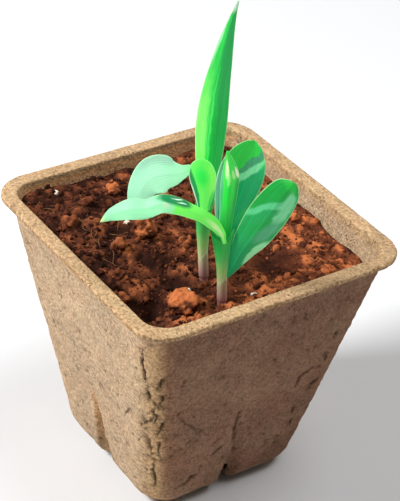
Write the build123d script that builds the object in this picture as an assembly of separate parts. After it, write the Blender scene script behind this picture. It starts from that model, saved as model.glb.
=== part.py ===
from build123d import *
import math
import os

# A square pressed-fibre pot, filled with soil and planted with two maize seedlings.
# Lengths are millimetres and angles are degrees. +Z is up, the pot stands on z = 0, centred on the Z axis.

# The pot: sides at the rim and, along the line of the wall, at the ground.
RIM_SIDE = 80.0
RIM_CORNER = 9.5
LIP_THICKNESS = 1.5
LIP_OVERHANG = 2.0
LIP_ROUND = 0.5
LIP_BLEND = 1.2
POT_HEIGHT = 75.0
WALL = 2.0
WALL_TOP_CORNER = 8.5
FOOT_SIDE = 47.5
FOOT_CORNER = 9.5
FOOT_ROUND = 8.5

# A groove pinched into the foot of each side, with a drain slot through its lower end, where the soil stands back.
SIDES = 4
FLUTE_RADIUS = 4.2
FLUTE_END = 0.4
FLUTE_RISE = 29.0
SLOT_WIDTH = 4.5
SLOT_HEIGHT = 7.0
SLOT_BACK = 1.0
SLOT_ROOM = 1.5

# The soil: how far its surface lies below the rim, and how much it tilts and swells.
SOIL_GAP = 0.3
SOIL_DROP = 4.6
SOIL_TILT = 1.8
SOIL_TILT_SHARES = (0.45, 0.55)
SOIL_SWELL = 3.0
SOIL_HOLLOW = 1.8
SOIL_LUMP_PITCH = 9.8
SOIL_FIRM_SPREAD = 5.0
SOIL_GRID = 41
SOIL_GRID_SHARE = 1.12
SOIL_DEGREE = 3

# Mounds and hollows: place across the mouth, height of the swell, spread across the mouth.
SOIL_SWELL_SHARES = [
    (-0.11, -0.39, 0.70, 0.20),
    (0.63, -0.80, -1.10, 0.19),
    (0.30, -0.50, -0.45, 0.22),
    (-0.75, -0.75, 0.25, 0.35),
    (-0.85, 0.45, 0.30, 0.30),
    (-0.10, 0.60, 0.20, 0.30),
    (0.68, 0.68, -0.35, 0.45),
]

# Waves that cross to leave lumps with hollows between them: heading, pitch and start as shares of a pitch.
SOIL_WAVE_SHARES = [
    (12.0, 1.00, 0.10),
    (67.0, 1.18, 0.55),
    (121.0, 0.92, 0.30),
    (158.0, 1.31, 0.80),
]

# Loose clods and pale grains: place across the mouth, size and turn.
CLOD_SIZE = 7.6
CLOD_SIDE_SHARES = (0.86, 0.76, 0.72)
CLOD_LIFT_SHARE = 0.18
CLOD_SHARES = [
    (0.69, -0.56, 1.00, 20.0),
    (-0.11, -0.39, 0.80, 55.0),
    (-0.72, -0.27, 0.55, 10.0),
    (-0.06, -0.62, 0.50, 70.0),
    (-0.80, 0.40, 0.55, 38.0),
    (-0.35, 0.55, 0.45, 80.0),
    (0.12, 0.78, 0.50, 15.0),
    (-0.50, -0.78, 0.50, 48.0),
    (0.20, -0.80, 0.42, 65.0),
    (-0.45, 0.05, 0.48, 30.0),
    (-0.30, -0.12, 0.40, 56.0),
    (0.02, 0.10, 0.38, 5.0),
    (-0.62, 0.72, 0.42, 50.0),
    (0.06, -0.14, 0.42, 30.0),
    (0.86, -0.58, 0.38, 55.0),
    (0.42, -0.88, 0.38, 20.0),
    (-0.66, -0.52, 0.40, 70.0),
]
GRAIN_SIZE = 2.0
GRAIN_SHARES = [
    (-0.88, -0.67, 0.90, 30.0),
    (-0.30, -0.41, 1.00, 75.0),
    (0.53, -0.42, 0.80, 15.0),
    (0.80, -0.04, 1.00, 50.0),
]

# Both seedlings spread their leaves along one line across the pot.
FAN_HEADING = 53.2

# The stems: place across the mouth, height above the soil, lean along the fan and radius.
REAR_PLACE_SHARES = (0.464, -0.242)
REAR_STEM_HEIGHT = 20.0
REAR_STEM_LEAN = -1.5
FRONT_PLACE_SHARES = (0.761, -0.291)
FRONT_STEM_HEIGHT = 18.3
FRONT_STEM_LEAN = -1.0
STEM_RADIUS = 1.1
CROWN_DEPTH = 2.5
SWAY_ANGLE = 8.0
STEM_GAP = 0.3

# Stations up a stem: height, lean and girth.
STEM_SHARES = [
    (0.0, 0.00, 1.00),
    (0.35, 0.55, 1.12),
    (0.70, 0.90, 1.45),
    (1.0, 1.00, 1.75),
]

# The coleoptile is the thin first sheath round the foot of a stem.
SHEATH_THICKNESS = 0.35
SHEATH_LOW_SHARE = 0.02
SHEATH_HIGH_SHARE = 0.34
SHEATH_SLANT = 25.0

# Leaves are thickest along the midrib, which is smoothed between its stations in even steps.
LEAF_THICKNESS = 0.6
LEAF_EDGE_SHARE = 0.45
LEAF_CUP_POWER = 1.4
LEAF_ACROSS_SHARES = (-1.0, -0.5, 0.0, 0.5, 1.0)
LEAF_STEPS = 2

# Each leaf: where it leaves the stem, then its reach along the fan, its depth across the fan, its rise, its width
# and how deep it is cupped. It faces across the fan, tilted up and turned along the fan.
# Stations along a midrib: reach, depth, rise and width.
REAR_SPEAR_SEAT_SHARE = 0.90
REAR_SPEAR_REACH = 3.6
REAR_SPEAR_DEPTH = 1.0
REAR_SPEAR_RISE = 59.8
REAR_SPEAR_WIDTH = 7.5
REAR_SPEAR_CUP = 1.5
REAR_SPEAR_FACING = (8.0, 0.0)
REAR_SPEAR_SHARES = [
    (0.0, 0.0, 0.0, 0.4),
    (0.12, 0.3, 0.07, 0.5),
    (0.01, 0.8, 0.28, 0.86),
    (-0.01, 1.0, 0.45, 1.0),
    (0.09, 1.0, 0.6, 0.87),
    (0.36, 0.8, 0.77, 0.58),
    (0.58, 0.6, 0.87, 0.35),
    (0.82, 0.4, 0.95, 0.15),
    (1.0, 0.2, 1.0, 0.05),
]

REAR_LEFT_SEAT_SHARE = 0.90
REAR_LEFT_REACH = -16.8
REAR_LEFT_DEPTH = 1.2
REAR_LEFT_RISE = 13.8
REAR_LEFT_WIDTH = 10.5
REAR_LEFT_CUP = 0.6
REAR_LEFT_FACING = (25.0, 0.0)
REAR_LEFT_SHARES = [
    (0.0, 0.0, 0.0, 0.16),
    (0.03, -0.3, 0.52, 0.18),
    (0.12, -0.4, 0.89, 0.16),
    (0.24, -0.3, 0.98, 0.18),
    (0.36, -0.2, 0.91, 0.34),
    (0.48, -0.1, 0.865, 0.6),
    (0.62, 0.0, 0.85, 0.88),
    (0.78, 0.2, 0.77, 0.92),
    (0.92, 0.7, 0.56, 0.7),
    (0.99, 1.0, 0.2, 0.44),
    (1.0, 1.0, -0.08, 0.06),
]

REAR_FRONT_SEAT_SHARE = 0.85
REAR_FRONT_REACH = -1.9
REAR_FRONT_DEPTH = 2.7
REAR_FRONT_RISE = 19.4
REAR_FRONT_WIDTH = 6.6
REAR_FRONT_CUP = 0.9
REAR_FRONT_FACING = (15.0, 0.0)
REAR_FRONT_SHARES = [
    (0.0, 0.0, 0.0, 0.3),
    (0.1, 0.3, 0.2, 0.43),
    (0.21, 0.63, 0.45, 0.76),
    (0.53, 0.85, 0.69, 1.0),
    (0.82, 0.93, 0.84, 0.87),
    (0.95, 0.97, 0.93, 0.6),
    (1.0, 1.0, 1.0, 0.1),
]

FRONT_ARCHED_SEAT_SHARE = 0.97
FRONT_ARCHED_REACH = -30.1
FRONT_ARCHED_DEPTH = 3.0
FRONT_ARCHED_RISE = 11.6
FRONT_ARCHED_WIDTH = 5.2
FRONT_ARCHED_CUP = 0.9
FRONT_ARCHED_FACING = (50.0, 0.0)
FRONT_ARCHED_SHARES = [
    (0.0, 0.47, -0.25, 0.24),
    (-0.01, 0.55, 0.0, 0.2),
    (0.0, 0.6, 0.16, 0.22),
    (0.02, 0.67, 0.32, 0.38),
    (0.09, 0.77, 0.57, 0.62),
    (0.18, 0.87, 0.75, 0.62),
    (0.28, 0.97, 0.87, 0.71),
    (0.39, 1.0, 0.98, 0.83),
    (0.52, 1.0, 1.0, 0.9),
    (0.64, 1.0, 0.85, 0.95),
    (0.78, 0.87, 0.77, 1.0),
    (0.91, 0.73, 0.58, 0.68),
    (1.0, 0.67, 0.34, 0.06),
]

FRONT_ROLLED_SEAT_SHARE = 0.83
FRONT_ROLLED_REACH = -1.3
FRONT_ROLLED_DEPTH = 1.2
FRONT_ROLLED_RISE = 28.8
FRONT_ROLLED_WIDTH = 4.3
FRONT_ROLLED_CUP = 1.5
FRONT_ROLLED_FACING = (0.0, 0.0)
FRONT_ROLLED_SHARES = [
    (0.0, 0.0, 0.0, 0.5),
    (0.0, 0.2, 0.12, 0.62),
    (0.0, 0.5, 0.38, 0.82),
    (0.0, 0.83, 0.59, 1.0),
    (0.05, 1.0, 0.79, 0.9),
    (1.0, 0.83, 1.0, 0.08),
]

FRONT_BACK_SEAT_SHARE = 0.83
FRONT_BACK_REACH = 5.2
FRONT_BACK_DEPTH = -3.5
FRONT_BACK_RISE = 29.6
FRONT_BACK_WIDTH = 11.0
FRONT_BACK_CUP = -1.8
FRONT_BACK_FACING = (0.0, 0.0)
FRONT_BACK_SHARES = [
    (0.0, 0.1, 0.0, 0.22),
    (0.02, 0.28, 0.14, 0.38),
    (0.19, 0.66, 0.39, 0.75),
    (0.42, 0.9, 0.64, 1.0),
    (0.65, 1.0, 0.84, 0.9),
    (0.87, 1.0, 0.96, 0.5),
    (0.96, 1.0, 1.0, 0.1),
]

FRONT_RIGHT_SEAT_SHARE = 0.40
FRONT_RIGHT_REACH = 14.7
FRONT_RIGHT_DEPTH = 3.2
FRONT_RIGHT_RISE = 30.6
FRONT_RIGHT_WIDTH = 9.3
FRONT_RIGHT_CUP = 1.4
FRONT_RIGHT_FACING = (20.0, 0.0)
FRONT_RIGHT_SHARES = [
    (0.03, 0.1, 0.0, 0.15),
    (0.11, 0.25, 0.06, 0.22),
    (0.27, 0.5, 0.28, 0.64),
    (0.49, 0.75, 0.515, 0.97),
    (0.71, 0.94, 0.755, 1.0),
    (0.88, 1.0, 0.92, 0.78),
    (0.96, 1.0, 0.98, 0.48),
    (1.0, 1.0, 1.01, 0.16),
]

# Below the soil: the underground shoot, the seed and the roots. The primary root ends clear of the pot's floor.
MESOCOTYL_RADIUS = 0.8
KERNEL_LENGTH = 9.0
KERNEL_WIDTH = 7.4
KERNEL_THICKNESS = 4.4
KERNEL_DEPTH = 22.0
KERNEL_SHARES = [
    (0.00, 0.40),
    (0.45, 0.92),
    (0.80, 1.00),
    (1.00, 0.70),
]
KERNEL_CORNER_SHARE = 0.3
REAR_KERNEL_SHARES = (0.25, -0.14)
FRONT_KERNEL_SHARES = (0.60, -0.25)
PRIMARY_ROOT_RADIUS = 0.7
PRIMARY_ROOT_DRIFT = 3.0
PRIMARY_ROOT_CLEARANCE = 4.2
SEMINAL_ROOT_RADIUS = 0.45
SEMINAL_ROOT_REACH = 9.0
SEMINAL_ROOT_FALL = 24.0
CROWN_ROOT_RADIUS = 0.4
CROWN_ROOT_REACH = 5.5
CROWN_ROOT_FALL = 8.0
REAR_SEMINAL_HEADINGS = (100.0, 190.0, 280.0)
FRONT_SEMINAL_HEADINGS = (120.0, 250.0)
REAR_CROWN_HEADINGS = (80.0, 160.0, 240.0)
FRONT_CROWN_HEADINGS = (70.0, 140.0, 285.0)
ROOT_START_SHARE = 0.25
ROOT_TURN_SHARE = 0.8
ROOT_BEND_SHARE = 0.3

# Cuts run past the faces that they open by this much.
OVERRUN = 1.0

# Worked out from the sizes above.
WALL_TOP_SIDE = RIM_SIDE - 2 * LIP_OVERHANG
MOUTH_HALF = WALL_TOP_SIDE / 2 - WALL
WALL_SLOPE = (WALL_TOP_SIDE - FOOT_SIDE) / 2 / POT_HEIGHT
LIP_UNDERSIDE = POT_HEIGHT - LIP_THICKNESS
ALONG = Vector(math.cos(math.radians(FAN_HEADING)), math.sin(math.radians(FAN_HEADING)), 0)
ACROSS = Vector(ALONG.Y, -ALONG.X, 0)
UP = Vector(0, 0, 1)


def rounded_square(side, corner, height):
    """A flat square with rounded corners, centred on the axis."""
    return Pos(0, 0, height) * RectangleRounded(side, side, corner)


def wall_section(height, inset):
    """The outline of the wall at a height, set in from the outer face."""
    share = height / POT_HEIGHT
    side = FOOT_SIDE + (WALL_TOP_SIDE - FOOT_SIDE) * share
    corner = FOOT_CORNER + (WALL_TOP_CORNER - FOOT_CORNER) * share
    return rounded_square(side - 2 * inset, corner - inset, height)


def tapered_block(low, high, inset, foot_round):
    """The tapered inside or outside of the pot, with its foot rounded."""
    block = loft([wall_section(low, inset), wall_section(high, inset)], ruled=True)
    foot_edges = block.faces().sort_by(Axis.Z)[0].edges()
    return fillet(foot_edges, foot_round)


def side_turns():
    """One turn about the axis for each side of the pot."""
    return [Rot(0, 0, 360 / SIDES * index) for index in range(SIDES)]


def flute(low_radius, high_radius):
    """A round groove that follows the slope of one wall and fades out upwards."""
    low = Pos(FOOT_SIDE / 2 - WALL_SLOPE * OVERRUN, 0, -OVERRUN) * Circle(low_radius)
    high = Pos(FOOT_SIDE / 2 + WALL_SLOPE * FLUTE_RISE, 0, FLUTE_RISE) * Circle(high_radius)
    return loft([low, high], ruled=True)


def on_sides(solid):
    """Copies of a solid on every side of the pot."""
    return [turn * solid for turn in side_turns()]


def drain_slot(room):
    """The slot through the foot of one side and a little way behind it, with room all round."""
    inner = FOOT_SIDE / 2 - FLUTE_RADIUS - WALL - SLOT_BACK - room
    outer = FOOT_SIDE / 2 + FLUTE_RADIUS
    top = SLOT_HEIGHT + room
    middle = Pos((inner + outer) / 2, 0, (top - OVERRUN) / 2)
    return middle * Box(outer - inner, SLOT_WIDTH + 2 * room, top + OVERRUN)


def make_pot_shell():
    """The moulded pot: tapered walls, floor, lip, grooves and drain slots."""
    outside = tapered_block(0, POT_HEIGHT, 0, FOOT_ROUND)
    lip = extrude(rounded_square(RIM_SIDE, RIM_CORNER, LIP_UNDERSIDE), LIP_THICKNESS)
    blank = outside + lip
    under_lip = blank.faces().filter_by(Axis.Z).sort_by(Axis.Z)[-2]
    blank = fillet(under_lip.inner_wires()[0].edges(), LIP_BLEND)
    rim_edges = [
        edge
        for face in (blank.faces().filter_by(Axis.Z).sort_by(Axis.Z)[-1],
                     blank.faces().filter_by(Axis.Z).sort_by(Axis.Z)[-2])
        for edge in face.outer_wire().edges()
    ]
    blank = fillet(rim_edges, LIP_ROUND)
    hollow = tapered_block(WALL, POT_HEIGHT + OVERRUN, WALL, FOOT_ROUND - WALL)
    hollow -= on_sides(flute(FLUTE_RADIUS + WALL, WALL))
    shell = blank - hollow
    shell -= on_sides(flute(FLUTE_RADIUS, FLUTE_END))
    shell -= on_sides(drain_slot(0))
    mouth_edges = shell.faces().filter_by(Axis.Z).sort_by(Axis.Z)[-1].inner_wires()[0].edges()
    return fillet(mouth_edges, LIP_ROUND)


def soil_hollow(x, y):
    """Depth of the hollows between the soil's lumps at a place. Round the stems the soil is pressed flat."""
    crest = 0
    for heading, pitch_share, start_share in SOIL_WAVE_SHARES:
        run = x * math.cos(math.radians(heading)) + y * math.sin(math.radians(heading))
        crest += math.sin(2 * math.pi * (run / (SOIL_LUMP_PITCH * pitch_share) + start_share))
    loose = 1
    for x_share, y_share in (REAR_PLACE_SHARES, FRONT_PLACE_SHARES):
        away = math.hypot(x - x_share * MOUTH_HALF, y - y_share * MOUTH_HALF)
        loose *= 1 - math.exp(-((away / SOIL_FIRM_SPREAD) ** 2))
    return SOIL_HOLLOW * loose * ((1 - crest / len(SOIL_WAVE_SHARES)) / 2) ** 2


def soil_level(x, y):
    """Height of the soil's surface at a place."""
    tilt = SOIL_TILT * (SOIL_TILT_SHARES[0] * x + SOIL_TILT_SHARES[1] * y) / MOUTH_HALF
    level = POT_HEIGHT - SOIL_DROP - tilt
    for x_share, y_share, height_share, spread_share in SOIL_SWELL_SHARES:
        away = math.hypot(x / MOUTH_HALF - x_share, y / MOUTH_HALF - y_share)
        level += SOIL_SWELL * height_share * math.exp(-((away / spread_share) ** 2))
    return level - soil_hollow(x, y)


def make_ground():
    """A block under the soil's uneven surface, wider than the pot."""
    reach = MOUTH_HALF * SOIL_GRID_SHARE
    steps = [reach * (2 * index / (SOIL_GRID - 1) - 1) for index in range(SOIL_GRID)]
    points = [[(x, y, soil_level(x, y)) for x in steps] for y in steps]
    surface = Face.make_surface_from_array_of_points(points, min_deg=SOIL_DEGREE)
    return extrude(surface, POT_HEIGHT, dir=(0, 0, -1))


def fan_vector(along, across, up):
    """A vector from its parts along the fan, across the fan and up."""
    return ALONG * along + ACROSS * across + UP * up


def stem_foot(place_shares):
    """Where a stem comes through the soil."""
    x = place_shares[0] * MOUTH_HALF
    y = place_shares[1] * MOUTH_HALF
    return Vector(x, y, soil_level(x, y))


def stem_station(foot, height, lean, share):
    """The centre and radius of a stem at a share of its height above the soil."""
    for low, high in zip(STEM_SHARES, STEM_SHARES[1:]):
        if share <= high[0]:
            break
    part = (share - low[0]) / (high[0] - low[0])
    lean_share = low[1] + (high[1] - low[1]) * part
    girth_share = low[2] + (high[2] - low[2]) * part
    centre = foot + fan_vector(lean * lean_share, 0, height * share)
    return centre, STEM_RADIUS * girth_share


def make_stem(foot, height, lean):
    """A stem from its crown, a little below the soil, to where the leaves part."""
    crown = foot - UP * CROWN_DEPTH
    sections = [Pos(crown) * Circle(STEM_RADIUS)]
    for share, _, _ in STEM_SHARES:
        centre, radius = stem_station(foot, height, lean, share)
        sections.append(Pos(centre) * Circle(radius))
    return loft(sections)


def make_coleoptile(foot, height, lean, stem):
    """The thin sheath round the foot of a stem, with a slanting mouth."""
    low, low_radius = stem_station(foot, height, lean, SHEATH_LOW_SHARE)
    high, high_radius = stem_station(foot, height, lean, SHEATH_HIGH_SHARE)
    slant = fan_vector(math.sin(math.radians(SHEATH_SLANT)), 0, math.cos(math.radians(SHEATH_SLANT)))
    mouth = Plane(origin=high, x_dir=ACROSS, z_dir=slant)
    sleeve = loft([
        Pos(low) * Circle(low_radius + SHEATH_THICKNESS),
        mouth * Circle(high_radius + SHEATH_THICKNESS),
    ])
    return largest(sleeve - stem)


def largest(shape):
    """The largest solid of a cut shape."""
    return shape.solids().sort_by(SortBy.VOLUME)[-1]


def leaf_section(origin, ahead, facing, width, cup):
    """A thin cupped slice across a leaf."""
    plane = Plane(origin=origin, x_dir=facing.cross(ahead), z_dir=ahead)
    upper = []
    lower = []
    for share in LEAF_ACROSS_SHARES:
        sink = cup * abs(share) ** LEAF_CUP_POWER
        thickness = LEAF_THICKNESS * (1 - (1 - LEAF_EDGE_SHARE) * abs(share))
        upper.append((share * width / 2, -sink))
        lower.append((share * width / 2, -sink - thickness))
    outline = Polyline(*upper, *reversed(lower), close=True)
    return plane * make_face(outline)


def smooth_rows(rows):
    """The rows of a table with rows between them on a smooth curve through all of them."""
    ends = [rows[0], *rows, rows[-1]]
    smooth = []
    for before, low, high, after in zip(ends, ends[1:], ends[2:], ends[3:]):
        for step in range(LEAF_STEPS):
            part = step / LEAF_STEPS
            smooth.append(tuple(
                b + part * (c - a) / 2
                + part ** 2 * (a - 5 * b / 2 + 2 * c - d / 2)
                + part ** 3 * (3 * b - 3 * c + d - a) / 2
                for a, b, c, d in zip(before, low, high, after)
            ))
    return [*smooth, rows[-1]]


def make_leaf(seat, reach, depth, rise, width, cup, facing, shares, neighbours):
    """A leaf lofted along its midrib, cut back where it meets the stem and the leaves inside it."""
    tilt, turn = (math.radians(angle) for angle in facing)
    faces_to = fan_vector(math.cos(tilt) * math.sin(turn), math.cos(tilt) * math.cos(turn), math.sin(tilt))
    stations = smooth_rows(shares)
    midrib = [seat + fan_vector(reach * row[0], depth * row[1], rise * row[2]) for row in stations]
    sections = []
    for index, point in enumerate(midrib):
        ahead = midrib[min(index + 1, len(midrib) - 1)] - midrib[max(index - 1, 0)]
        share = stations[index][3]
        sections.append(leaf_section(point, ahead, faces_to, width * share, cup * share))
    leaf = loft(sections, ruled=True)
    for neighbour in neighbours:
        leaf = largest(leaf - neighbour)
    return leaf


def lump(size, turn):
    """A rough lump with flattened sides."""
    sides = [size * share for share in CLOD_SIDE_SHARES]
    return Sphere(size / 2) & Rot(turn, turn / 2, turn) * Box(*sides)


def lumps_on_soil(size, shares, ground):
    """Lumps that sit on the soil's surface, one solid each."""
    seated = []
    for x_share, y_share, size_share, turn in shares:
        x = x_share * MOUTH_HALF
        y = y_share * MOUTH_HALF
        own_size = size * size_share
        place = Pos(x, y, soil_level(x, y) + own_size * CLOD_LIFT_SHARE)
        seated.append(largest(place * lump(own_size, turn) - ground))
    return Compound(children=seated)


def make_kernel(base):
    """A seed, narrow at its lower tip and flat from side to side."""
    sections = []
    for rise_share, girth_share in KERNEL_SHARES:
        width = KERNEL_WIDTH * girth_share
        thickness = KERNEL_THICKNESS * girth_share
        outline = RectangleRounded(width, thickness, thickness * KERNEL_CORNER_SHARE)
        sections.append(Pos(base + UP * KERNEL_LENGTH * rise_share) * Rot(0, 0, FAN_HEADING) * outline)
    return loft(sections)


def rod(start, end, radius):
    """A straight round rod between two points."""
    along = end - start
    plane = Plane(origin=start, z_dir=along)
    return plane * Cylinder(radius, along.length, align=(Align.CENTER, Align.CENTER, Align.MIN))


def bent_root(start, heading, reach, fall, radius):
    """A root that sets off sideways, then turns down."""
    out = Vector(math.cos(math.radians(heading)), math.sin(math.radians(heading)), 0)
    turning = start + out * reach * ROOT_TURN_SHARE - UP * fall * ROOT_START_SHARE
    end = start + out * reach - UP * fall
    path = FilletPolyline(start, turning, end, radius=reach * ROOT_BEND_SHARE)
    return sweep(Plane(origin=path @ 0, z_dir=path % 0) * Circle(radius), path=path)


def make_roots(foot, kernel_shares, seminal_headings, crown_headings):
    """The parts of one seedling that lie in the soil, by name."""
    crown = foot - UP * (CROWN_DEPTH + STEM_GAP)
    kernel_x = kernel_shares[0] * MOUTH_HALF
    kernel_y = kernel_shares[1] * MOUTH_HALF
    kernel_top = Vector(kernel_x, kernel_y, crown.Z - KERNEL_DEPTH)
    kernel_tip = kernel_top - UP * KERNEL_LENGTH
    kernel = make_kernel(kernel_tip)
    shoot = rod(crown, kernel_top - UP * MESOCOTYL_RADIUS, MESOCOTYL_RADIUS)
    inwards = Vector(-kernel_x, -kernel_y, 0).normalized()
    root_fall = kernel_tip.Z - WALL - PRIMARY_ROOT_CLEARANCE
    root_tip = kernel_tip + inwards * PRIMARY_ROOT_DRIFT - UP * root_fall
    primary = rod(kernel_tip + UP * PRIMARY_ROOT_RADIUS, root_tip, PRIMARY_ROOT_RADIUS)
    middle = kernel_tip + UP * KERNEL_LENGTH / 2
    seminal = [
        largest(bent_root(middle, heading, SEMINAL_ROOT_REACH, SEMINAL_ROOT_FALL, SEMINAL_ROOT_RADIUS) - kernel)
        for heading in seminal_headings
    ]
    node = crown - (crown - kernel_top).normalized() * MESOCOTYL_RADIUS * 2
    crown_roots = [
        largest(bent_root(node, heading, CROWN_ROOT_REACH, CROWN_ROOT_FALL, CROWN_ROOT_RADIUS) - shoot)
        for heading in crown_headings
    ]
    return {
        "mesocotyl": largest(shoot - kernel),
        "kernel": kernel,
        "primary_root": largest(primary - kernel),
        "seminal_roots": Compound(children=seminal),
        "crown_roots": Compound(children=crown_roots),
    }


def stem_pit(foot):
    """The room in the soil that lets a stem lean over."""
    low = foot - UP * (CROWN_DEPTH + STEM_GAP)
    height = CROWN_DEPTH + STEM_GAP + SOIL_SWELL
    low_radius = STEM_RADIUS + SHEATH_THICKNESS + STEM_GAP
    high_radius = low_radius + height * math.tan(math.radians(SWAY_ANGLE))
    cone = Cone(low_radius, high_radius, height, align=(Align.CENTER, Align.CENTER, Align.MIN))
    return Pos(low) * cone


def make_soil(ground, feet, buried):
    """The soil plug: the inside of the pot under the ground, less the stems' pits and the roots."""
    inset = WALL + SOIL_GAP
    soil = tapered_block(inset, POT_HEIGHT, inset, FOOT_ROUND - inset) & ground
    holes = [
        *on_sides(flute(FLUTE_RADIUS + inset, inset)),
        *on_sides(drain_slot(SLOT_ROOM)),
        *(stem_pit(foot) for foot in feet),
        *buried,
    ]
    for hole in holes:
        soil -= hole
    return soil


def write(name, shape):
    """One file for each node."""
    shape.label = name
    export_step(shape, os.path.join("parts", name + ".step"))


os.makedirs("parts", exist_ok=True)

rear_foot = stem_foot(REAR_PLACE_SHARES)
front_foot = stem_foot(FRONT_PLACE_SHARES)
ground = make_ground()

rear_roots = make_roots(rear_foot, REAR_KERNEL_SHARES, REAR_SEMINAL_HEADINGS, REAR_CROWN_HEADINGS)
front_roots = make_roots(front_foot, FRONT_KERNEL_SHARES, FRONT_SEMINAL_HEADINGS, FRONT_CROWN_HEADINGS)
buried = [solid for part in (*rear_roots.values(), *front_roots.values()) for solid in part.solids()]

parts = {
    "pot_shell": make_pot_shell(),
    "soil_plug": make_soil(ground, (rear_foot, front_foot), buried),
    "soil_clods": lumps_on_soil(CLOD_SIZE, CLOD_SHARES, ground),
    "pale_grains": lumps_on_soil(GRAIN_SIZE, GRAIN_SHARES, ground),
}
parts.update({"rear_" + name: part for name, part in rear_roots.items()})
parts.update({"front_" + name: part for name, part in front_roots.items()})

rear_stem = make_stem(rear_foot, REAR_STEM_HEIGHT, REAR_STEM_LEAN)
parts["rear_stem"] = rear_stem
parts["rear_coleoptile"] = make_coleoptile(rear_foot, REAR_STEM_HEIGHT, REAR_STEM_LEAN, rear_stem)
rear_leaves = {
    "rear_spear_leaf": (REAR_SPEAR_SEAT_SHARE, REAR_SPEAR_REACH, REAR_SPEAR_DEPTH, REAR_SPEAR_RISE,
                        REAR_SPEAR_WIDTH, REAR_SPEAR_CUP, REAR_SPEAR_FACING, REAR_SPEAR_SHARES),
    "rear_left_leaf": (REAR_LEFT_SEAT_SHARE, REAR_LEFT_REACH, REAR_LEFT_DEPTH, REAR_LEFT_RISE,
                       REAR_LEFT_WIDTH, REAR_LEFT_CUP, REAR_LEFT_FACING, REAR_LEFT_SHARES),
    "rear_front_leaf": (REAR_FRONT_SEAT_SHARE, REAR_FRONT_REACH, REAR_FRONT_DEPTH, REAR_FRONT_RISE,
                        REAR_FRONT_WIDTH, REAR_FRONT_CUP, REAR_FRONT_FACING, REAR_FRONT_SHARES),
}
front_stem = make_stem(front_foot, FRONT_STEM_HEIGHT, FRONT_STEM_LEAN)
parts["front_stem"] = front_stem
parts["front_coleoptile"] = make_coleoptile(front_foot, FRONT_STEM_HEIGHT, FRONT_STEM_LEAN, front_stem)
front_leaves = {
    "front_rolled_leaf": (FRONT_ROLLED_SEAT_SHARE, FRONT_ROLLED_REACH, FRONT_ROLLED_DEPTH, FRONT_ROLLED_RISE,
                          FRONT_ROLLED_WIDTH, FRONT_ROLLED_CUP, FRONT_ROLLED_FACING, FRONT_ROLLED_SHARES),
    "front_back_leaf": (FRONT_BACK_SEAT_SHARE, FRONT_BACK_REACH, FRONT_BACK_DEPTH, FRONT_BACK_RISE,
                        FRONT_BACK_WIDTH, FRONT_BACK_CUP, FRONT_BACK_FACING, FRONT_BACK_SHARES),
    "front_arched_leaf": (FRONT_ARCHED_SEAT_SHARE, FRONT_ARCHED_REACH, FRONT_ARCHED_DEPTH, FRONT_ARCHED_RISE,
                          FRONT_ARCHED_WIDTH, FRONT_ARCHED_CUP, FRONT_ARCHED_FACING, FRONT_ARCHED_SHARES),
    "front_right_leaf": (FRONT_RIGHT_SEAT_SHARE, FRONT_RIGHT_REACH, FRONT_RIGHT_DEPTH, FRONT_RIGHT_RISE,
                         FRONT_RIGHT_WIDTH, FRONT_RIGHT_CUP, FRONT_RIGHT_FACING, FRONT_RIGHT_SHARES),
}
for foot, height, lean, stem, leaves in (
    (rear_foot, REAR_STEM_HEIGHT, REAR_STEM_LEAN, rear_stem, rear_leaves),
    (front_foot, FRONT_STEM_HEIGHT, FRONT_STEM_LEAN, front_stem, front_leaves),
):
    neighbours = [stem]
    for name, (seat_share, *sizes) in leaves.items():
        seat, _ = stem_station(foot, height, lean, seat_share)
        parts[name] = make_leaf(seat, *sizes, neighbours)
        neighbours.append(parts[name])

for name, shape in parts.items():
    write(name, shape)
print(len(parts), "nodes")
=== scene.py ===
import math
from contextlib import contextmanager
from functools import lru_cache

import bmesh
import bpy
import numpy as np
from bpy.props import FloatProperty, FloatVectorProperty, IntProperty, PointerProperty
from mathutils import Matrix, Vector, noise
from mathutils.bvhtree import BVHTree


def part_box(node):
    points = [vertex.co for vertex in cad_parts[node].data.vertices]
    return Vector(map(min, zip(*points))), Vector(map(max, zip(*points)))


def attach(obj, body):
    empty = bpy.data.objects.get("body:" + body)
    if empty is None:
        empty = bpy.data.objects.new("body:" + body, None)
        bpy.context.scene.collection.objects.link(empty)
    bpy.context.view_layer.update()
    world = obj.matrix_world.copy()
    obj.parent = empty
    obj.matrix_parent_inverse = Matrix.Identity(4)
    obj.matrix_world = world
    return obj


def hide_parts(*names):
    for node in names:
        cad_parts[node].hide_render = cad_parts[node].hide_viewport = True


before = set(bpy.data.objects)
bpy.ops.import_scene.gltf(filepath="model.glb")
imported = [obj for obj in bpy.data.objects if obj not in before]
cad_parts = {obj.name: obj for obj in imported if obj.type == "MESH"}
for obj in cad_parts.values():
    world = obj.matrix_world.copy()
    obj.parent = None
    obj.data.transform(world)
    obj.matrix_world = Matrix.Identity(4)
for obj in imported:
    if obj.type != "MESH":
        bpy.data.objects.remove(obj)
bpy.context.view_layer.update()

bl_info = {
    "name": "Planted fibre pot",
    "version": (1, 0, 0),
    "blender": (4, 5, 0),
    "location": "View3D > Sidebar > Fibre Pot",
    "description": "Dresses a pressed-fibre pot with crumbly soil and two maize seedlings",
    "category": "Object",
}

# Everything is in metres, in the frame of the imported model.
MILLIMETRE = 0.001
UP = Vector((0, 0, 1))

# The photograph's frame and the camera that took it: heading, height and roll in degrees.
PHOTO_SIZE = (400, 501)
CAMERA_EYE = Vector((0.3042, -0.2255, 0.3245))
CAMERA_HEADING = 53.23
CAMERA_ELEVATION = 34.39
CAMERA_ROLL = 5.09
CAMERA_SENSOR = 36.0
CAMERA_LENS = 124.9

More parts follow.
